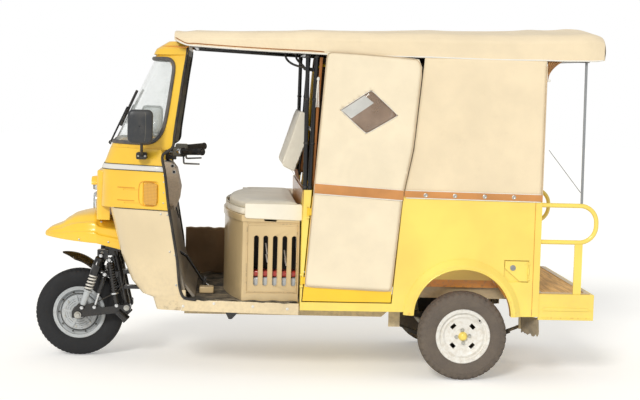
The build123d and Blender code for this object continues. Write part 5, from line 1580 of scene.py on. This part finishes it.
Form().grid(skirt_rows).piece("cushion_skirt", "seat_vinyl", thick=2, smooth=1)
rod("cushion_welt", "seat_welt", [p + Vector((0, 0, 6 * MM)) for p in skirt_rows[0]], 4, smooth=1)
PANEL = ((-1163, 912), (-1163, 842), (-1154, 834), (-872, 826), (-864, 832), (-864, 904), (-872, 912))
TAB = ((-1066, 834), (-992, 831), (-996, 816), (-1060, 818))
for hand, side in SIDES:
    y = side * (BOX_HALF + 2)
    panel, hem, tab = [[at(x, place, z) for x, z in outline] for place, outline in
                       ((y, PANEL), (y + side * 6, PANEL), (y, TAB))]
    Form().prism(panel, (0, side * 7, 0)).piece(f"cushion_panel_{hand}", "seat_vinyl", bevel=3)
    rod(f"cushion_panel_hem_{hand}", "seat_welt", hem, 1.5, sides=6, closed=True)
    # the tab takes the darker beige: painted shade
    Form().prism(tab, (0, side * 5, 0)).piece(f"cushion_tab_{hand}", "painted_shade_beige", bevel=2)

# --- engine behind the slots ----------------------------------------------------------------------
crankcase = Form().box((-1166, -170, 402), (-930, 170, 540)).piece("crankcase", "cast_alloy", bevel=18)
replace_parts(crankcase, "engine")
CYLINDER_X = -1050.0
fins = Form()
for i in range(10):
    fins.turned(at(CYLINDER_X, 0, 548 + 14 * i), (0, 0, 1), [(0, 78), (5, 78), (5.5, 52), (13.5, 52)], 40)
fins.piece("cylinder_fins", "cast_alloy")
FAN_COVER = ((0, 61.6), (8, 66.08), (40, 66.08), (52, 58.24), (56, 33.6), (62, 31.36), (64, 11.2))
Form().turned(at(CYLINDER_X, -170, 470), (0, -1, 0), FAN_COVER, 40).piece("fan_cover", "cast_alloy")
for hand, side in SIDES:
    side_box(f"service_box_{hand}", "tank_red", side, (-1150, 440, 524), (-884, 530, 556), 8)
    side_box(f"service_tray_{hand}", "rim_silver", side, (-1150, 440, 470), (-884, 530, 520), 8)
    pipes = Form()
    for x, z0, z1 in ((-1049, 700, 640), (-1046, 640, 596), (-950, 664, 604), (-946, 620, 580)):
        pipes.tube([at(x, side * 505, z0), at(x + 9, side * 500, z1)], 3.5, 8)
    pipes.piece(f"service_pipes_{hand}", "piping_metal")
# black sheets inside the seat box, so that its slots look dark inside: painted shade
slot_shade = Form()
for y in (-300, 300):
    slot_shade.box((-1150, y - 3, 402), (-882, y + 3, 836))
slot_shade.piece("slot_shade_sheets", "black_plastic")
exhaust = [at(CYLINDER_X, 90, 640), at(CYLINDER_X, 150, 620), at(-1010, 200, 540), at(-960, 235, 450)]
rod("exhaust_pipe", "spring_iron", smooth_line(exhaust, 6), 17, sides=14, smooth=1)

# --- backrest ties, tassel, posts -----------------------------------------------------------------
apron_rows = []
for z, x in ((1076, -880), (1040, -872), (1004, -862), (972, -853)):
    apron_rows.append([at(x + 4 * math.sin(k * 0.9), -262 + 524 * k / 16, z) for k in range(17)])
Form().grid(apron_rows).piece("backrest_apron", "tan_cloth", thick=2, smooth=1)
STRAP = ((-894, 1056), (-876, 1030), (-858, 1006), (-842, 984))
for hand, y in (("left", -292), ("right", 284)):
    strap_rows = [[at(x - 5, y + w, z) for w in (0, 5, 10, 15)] for x, z in STRAP]
    Form().grid(strap_rows).piece(f"back_strap_{hand}", "seat_vinyl", thick=2)
TASSEL_X, TASSEL_Y, TASSEL_Z = -800.0, -590.0, 1572.0
tassel = Form()
random.seed(7)
for dx, dy in around(16, 1):
    sway = random.uniform(-4, 4)
    yarn = [(3, 3, 0, 0)] + [(3 + 6 * t, 3 + 5 * t, sway * t, 150 * t) for t in (0.3, 0.6, 1.0)]
    tassel.tube([at(TASSEL_X + out_x * dx + aside, TASSEL_Y + out_y * dy, TASSEL_Z - fall)
                 for out_x, out_y, aside, fall in yarn], 1.2, 5)
tassel.turned(at(TASSEL_X, TASSEL_Y, TASSEL_Z - 12), (0, 0, 1), [(0, 6), (4, 8), (12, 8), (18, 3)], 14)
tassel.piece("tassel", "white_yarn")
post_clips = Form()
# column meaning: foot and head stations, side
for foot, head, side in ((-855, -856, -1), (-830, -808, -1), (-842, -838, 1), (-828, -790, 1)):
    for share in (0.02, 0.34, 0.66, 0.97):
        place = at(foot + (head - foot) * share, side * (600 - 28 * share), 987 + (1704 - 993) * share)
        post_clips.turned(place, (0, 0, 1), [(0, 11.6), (1, 13), (11, 13), (12, 11.6)], 18)
post_clips.piece("post_clips", "black_plastic")

# --- handlebar dressing ---------------------------------------------------------------------------
BAR_X, BAR_Z, GRIP_Y = -1560.0, 1130.0, 330.0
GRIP_RIB = ((0.08, 18.2), (0.10, 18.2), (0.105, 17.4), (0.125, 17.4))
for hand, side in SIDES:
    base = at(BAR_X + 60, side * (GRIP_Y - 100), BAR_Z + 26)
    end = at(BAR_X + 168, side * (GRIP_Y + 10), BAR_Z + 34)
    # column meaning: share of the grip's length, radius
    profile = [(0, 17.2), (0, 22), (0.03, 22), (0.05, 18)]
    for i in range(15):
        profile += [(start + i * 0.056, r) for start, r in GRIP_RIB]
    profile += [(0.95, 20), (0.99, 20), (1.0, 14)]
    long = (end - base).length / MM
    Form().turned(base, end - base, [(t * long, r) for t, r in profile], 28).piece(
        f"grip_{hand}", "dark_rubber", "steering")
    Form().turned(at(BAR_X + 40, side * (GRIP_Y - 100), BAR_Z + 28), (0, side, 0),
                  [(0, 15), (3, 15), (5, 12), (9, 11), (10, 8)], 24).piece(
        f"switch_button_{hand}", "chrome", "steering")
key_rings, key_holes = Form(), Form()
for x, z in ((-1559, 1071), (-1550, 1038)):
    key_rings.turned(at(x, -118, z), (0, -1, 0), [(0, 12), (2.5, 11), (2.5, 8), (0.4, 8)], 24, caps=False)
    key_holes.turned(at(x, -118, z), (0, -1, 0), [(0, 8.2), (1, 8.2)], 20)
key_rings.piece("key_rings", "chrome")
key_holes.piece("key_holes", "black_plastic")

# --- rear quarters, deck, rails -------------------------------------------------------------------
def arch(y, radius_x, radius_z, start, end, steps, lift=0.0):
    """Places along the wheel arch, its angles in degrees from the front."""
    angles = [math.radians(start + (end - start) * i / steps) for i in range(steps + 1)]
    return [at(ARCH_X - radius_x * math.cos(a), y, ARCH_Z + lift + radius_z * math.sin(a)) for a in angles]


for hand, side in SIDES:
    # the seam is an orange line: painted shade in its gap
    seam_line = [at(358, side * (BODY_HALF + 0.3), z) for z in (962, 800, 600, 420, 352)]
    rod(f"quarter_seam_{hand}", "painted_shade_orange", seam_line, 1.6, sides=6)
    fold = [at(x, side * (BODY_HALF + 0.5), z) for x, z in ((-338, 966), (0, 966), (391, 962))]
    rod(f"quarter_bead_{hand}", "rear_yellow", fold, 3)
    bead = arch(side * (BODY_HALF + 25), ARCH_R + 2, ARCH_R - 10, 0, 180, 32, 12)
    rod(f"arch_bead_{hand}", "rear_yellow", bead, 4.5, sides=10)
    lines = Form()
    for z in (386, 344):
        lines.tube([at(412, side * (TRIM_HALF + 0.4), z), at(676, side * (TRIM_HALF + 0.4), z)], 2, 8)
    lines.piece(f"bumper_lines_{hand}", "rear_yellow")
    stay = [at(420, side * 596, 1230), at(598, side * 590, 1010)]
    rod(f"rail_stay_{hand}", "grey_paint", stay, 2.0, sides=10)
LOCK_X, LOCK_Y, LOCK_Z = 249.6, -BODY_HALF, 606.9
lock = Form()
lock.turned(at(LOCK_X, LOCK_Y - 0.2, LOCK_Z), (0, -1, 0), [(0, 15), (3, 15), (5, 12), (5, 5)], 28)
lock.prism([at(x, LOCK_Y - 5, z) for x, z in ((239, 605), (260, 605), (260, 609), (239, 609))], (0, -2, 0))
lock.piece("hatch_lock", "grey_paint", "filler_hatch")
# the deck's border takes the darker beige: painted shade
border = Form()
for low, high in (((396, -588, 470), (672, -560, 474)), ((396, 560, 470), (672, 588, 474)),
                  ((396, -560, 470), (420, 560, 474)), ((648, -560, 470), (672, 560, 474))):
    border.box(low, high)
border.piece("deck_border", "painted_shade_beige", bevel=1.2)

# --- loose sheets: mudflaps, far side sheet, gathered curtain --------------------------------------
FLAP_X, FLAP_Y, FLAP_TOP_Z, FLAP_TALL = 364.0, 535.0, 340.0, 111.0
random.seed(11)
for hand, side in SIDES:
    lean = math.radians(55 * side)
    notches = [random.uniform(0, 26) for _ in range(17)]

    def flap_place(u, v):
        """The flap hangs askew behind its wheel, bows rearwards, and its lower edge is ragged."""
        notch = notches[round(u * 16)] * v ** 3
        u = -65 + 130 * u
        bow = 7 * math.sin(v * 2.2) + crinkle((u, v * 108, side), 0.03, 5) * v
        return at(FLAP_X + u * math.cos(lean) - bow * math.sin(lean),
                  side * FLAP_Y + u * math.sin(lean) + bow * math.cos(lean),
                  FLAP_TOP_Z - 0.5 - (FLAP_TALL - notch) * v)

    flap = Form().grid(sheet_rows(16, 9, flap_place))
    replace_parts(flap.piece(f"mudflap_{hand}", "flap_rubber", thick=5, offset=0.0, smooth=1), "mudflaps")


def far_sheet_place(u, v):
    """The right side's sheet stands on the floor's edge; its upper edge is uneven and its face wavy."""
    x = -1496 + (1496 - 903) * u
    fray = 4 * noise.noise(Vector((x * 0.02, 0, 4))) + 1.2 * math.sin(x * 0.11)
    z = 392 + (664 - 392 + fray * v) * v
    return at(x, 562 + 6 * math.sin(x * 0.035) * v + crinkle((x, z, 5), 0.01, 6), z)


far_rows = sheet_rows(60, 18, far_sheet_place)
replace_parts(Form().grid(far_rows).piece("far_side_sheet", "brown_sheet", thick=2), "right_side_sheet")
rod("far_sheet_hem", "piping_tan", [p + Vector((0, 0, 3 * MM)) for p in far_rows[-1]], 4.5, sides=7)


def gathered_place(u, v):
    """Pleats that draw together towards the tie below."""
    spread = (1 - v) ** 2.2
    y = -594 + 9 * math.sin(u * 34) * (0.4 + 0.6 * spread)
    return at(396 + 84 * u * spread + 6 * v, y, 1696 - 98 * v - 10 * u * v)


gathered = sheet_rows(48, 14, gathered_place)
Form().grid(gathered).piece("gathered_curtain", "gold_curtain", thick=1.5, smooth=1)
Form().grid(turned_over([mirror_y(row) for row in gathered])).piece(
    "gathered_curtain_right", "gold_curtain", thick=1.5, smooth=1)
ties = Form()
for side in (-1, 1):
    ties.turned(at(404, side * 594, 1586), (0, 0, 1), [(0, 9), (4, 11), (12, 9)], 16)
ties.piece("curtain_ties", "piping")

# --- wheel housings, cowl grooves, brown edge and cables by the posts -------------------------------
for hand, side in SIDES:
    # the wheel housings are orange: painted shade inside the arches
    housing = [arch(side * y, ARCH_R - 1, ARCH_R - 1, 24, 156, 28) for y in (604, 580, 540, 500, 470)]
    Form().grid(list(zip(*housing))).piece(f"wheel_housing_{hand}", "painted_shade_orange", thick=2)
    Form().prism(arch(side * 474, ARCH_R - 4, ARCH_R - 4, 34, 146, 28), (0, side * 2, 0)).piece(
        f"wheel_housing_wall_{hand}", "painted_shade_orange")
    # the cowl's grooves are orange lines: painted shade in them
    grooves = Form()
    for z in (970, 902):
        line = [on_level(COWL_LEVELS, x, z, 0.3) for x in (-1836, -1790, -1744)]
        grooves.tube(on_side(line, side), 2.2, 8)
    grooves.piece(f"cowl_grooves_{hand}", "painted_shade_orange")
    edge = [at(x, side * y, z) for x, y, z in
            ((-786, 584, 1680), (-800, 586, 1400), (-808, 588, 1200), (-814, 588, 1010))]
    rows = [[p + Vector((dx * MM, 0, 0)) for dx in (-7, -2, 3, 8)] for p in smooth_line(edge, 6)]
    Form().grid(rows).piece(f"cabin_edge_strip_{hand}", "tan_cloth", thick=2)
for k, (x, low) in enumerate(((-972, 1640), (-918, 1632))):
    loop = [at(x, -508, 1706), at(x + 8, -506, 1668), at(x + 44, -506, low), at(-866, -512, low - 16),
            at(-812, -530, low - 22)]
    rod(f"loom_{k}", "dark_rubber", smooth_line(loop, 6), 6, sides=12, smooth=1)

# --- small mudguard over the tyre -----------------------------------------------------------------
BLADE_X, BLADE_Z, BLADE_R, BLADE_HALF = FRONT_AXLE_X - 73, FRONT_R + 94, 242.0, 55.0


def blade_place(u, v):
    """A narrow blade that follows the tyre round, pointed in front and turned down at its edges."""
    u = 2 * u - 1
    a = math.radians(97 - (97 - 36) * v)
    point = min(1.0, 0.12 + v * 3.2) ** 0.8
    reach = BLADE_R - 1 - 34 * abs(u) ** 3 * min(1.0, 0.15 + v * 2.6) - 4 * u * u
    return at(BLADE_X + reach * math.cos(a), u * BLADE_HALF * point, BLADE_Z + reach * math.sin(a))


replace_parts(Form().grid(sheet_rows(12, 30, blade_place)).piece(
    "tyre_guard", "guard_black", "steering", thick=4, smooth=1), "hugger")
STAY_Z = BLADE_Z + 153
Form().box((HEAD_X - 62, -116, STAY_Z - 12), (HEAD_X + 52, 116, STAY_Z)).piece(
    "tyre_guard_stay", "black_paint", "steering", bevel=3)
guard_bolts = Form()
for x in (-30, 20):
    for y in (-30, 30):
        guard_bolts.bolt(at(HEAD_X + x, y, STAY_Z), (0, 0, 1), 5)
guard_bolts.piece("tyre_guard_bolts", "zinc", "steering")

# --- cab corner plates, kick boards and neck brackets -----------------------------------------------
KICK = ((-1526, 397), (-1526, 600), (-1508, 600), (-1486, 520), (-1466, 440), (-1452, 397))
for hand, side in SIDES:
    side_box(f"cab_corner_{hand}", "nose_beige", side, (-1502, 528, 352), (-1462, 540, 446), 4)
    Form().prism([at(x, side * 516, z) for x, z in KICK], (0, side * 4, 0)).piece(
        f"kick_board_{hand}", "speckled_board", bevel=1)
    for k, (x, z, tall, reach) in enumerate(((-1806, 508, 26, 76), (-1800, 424, 22, 122))):
        side_box(f"neck_bracket_{k}_{hand}", "black_paint", side,
                 (x, 275, z - tall / 2), (x + reach, 300, z + tall / 2), 4)

# --- a loop over both sides that does nothing -----------------------------------------------------
for hand, side in SIDES:
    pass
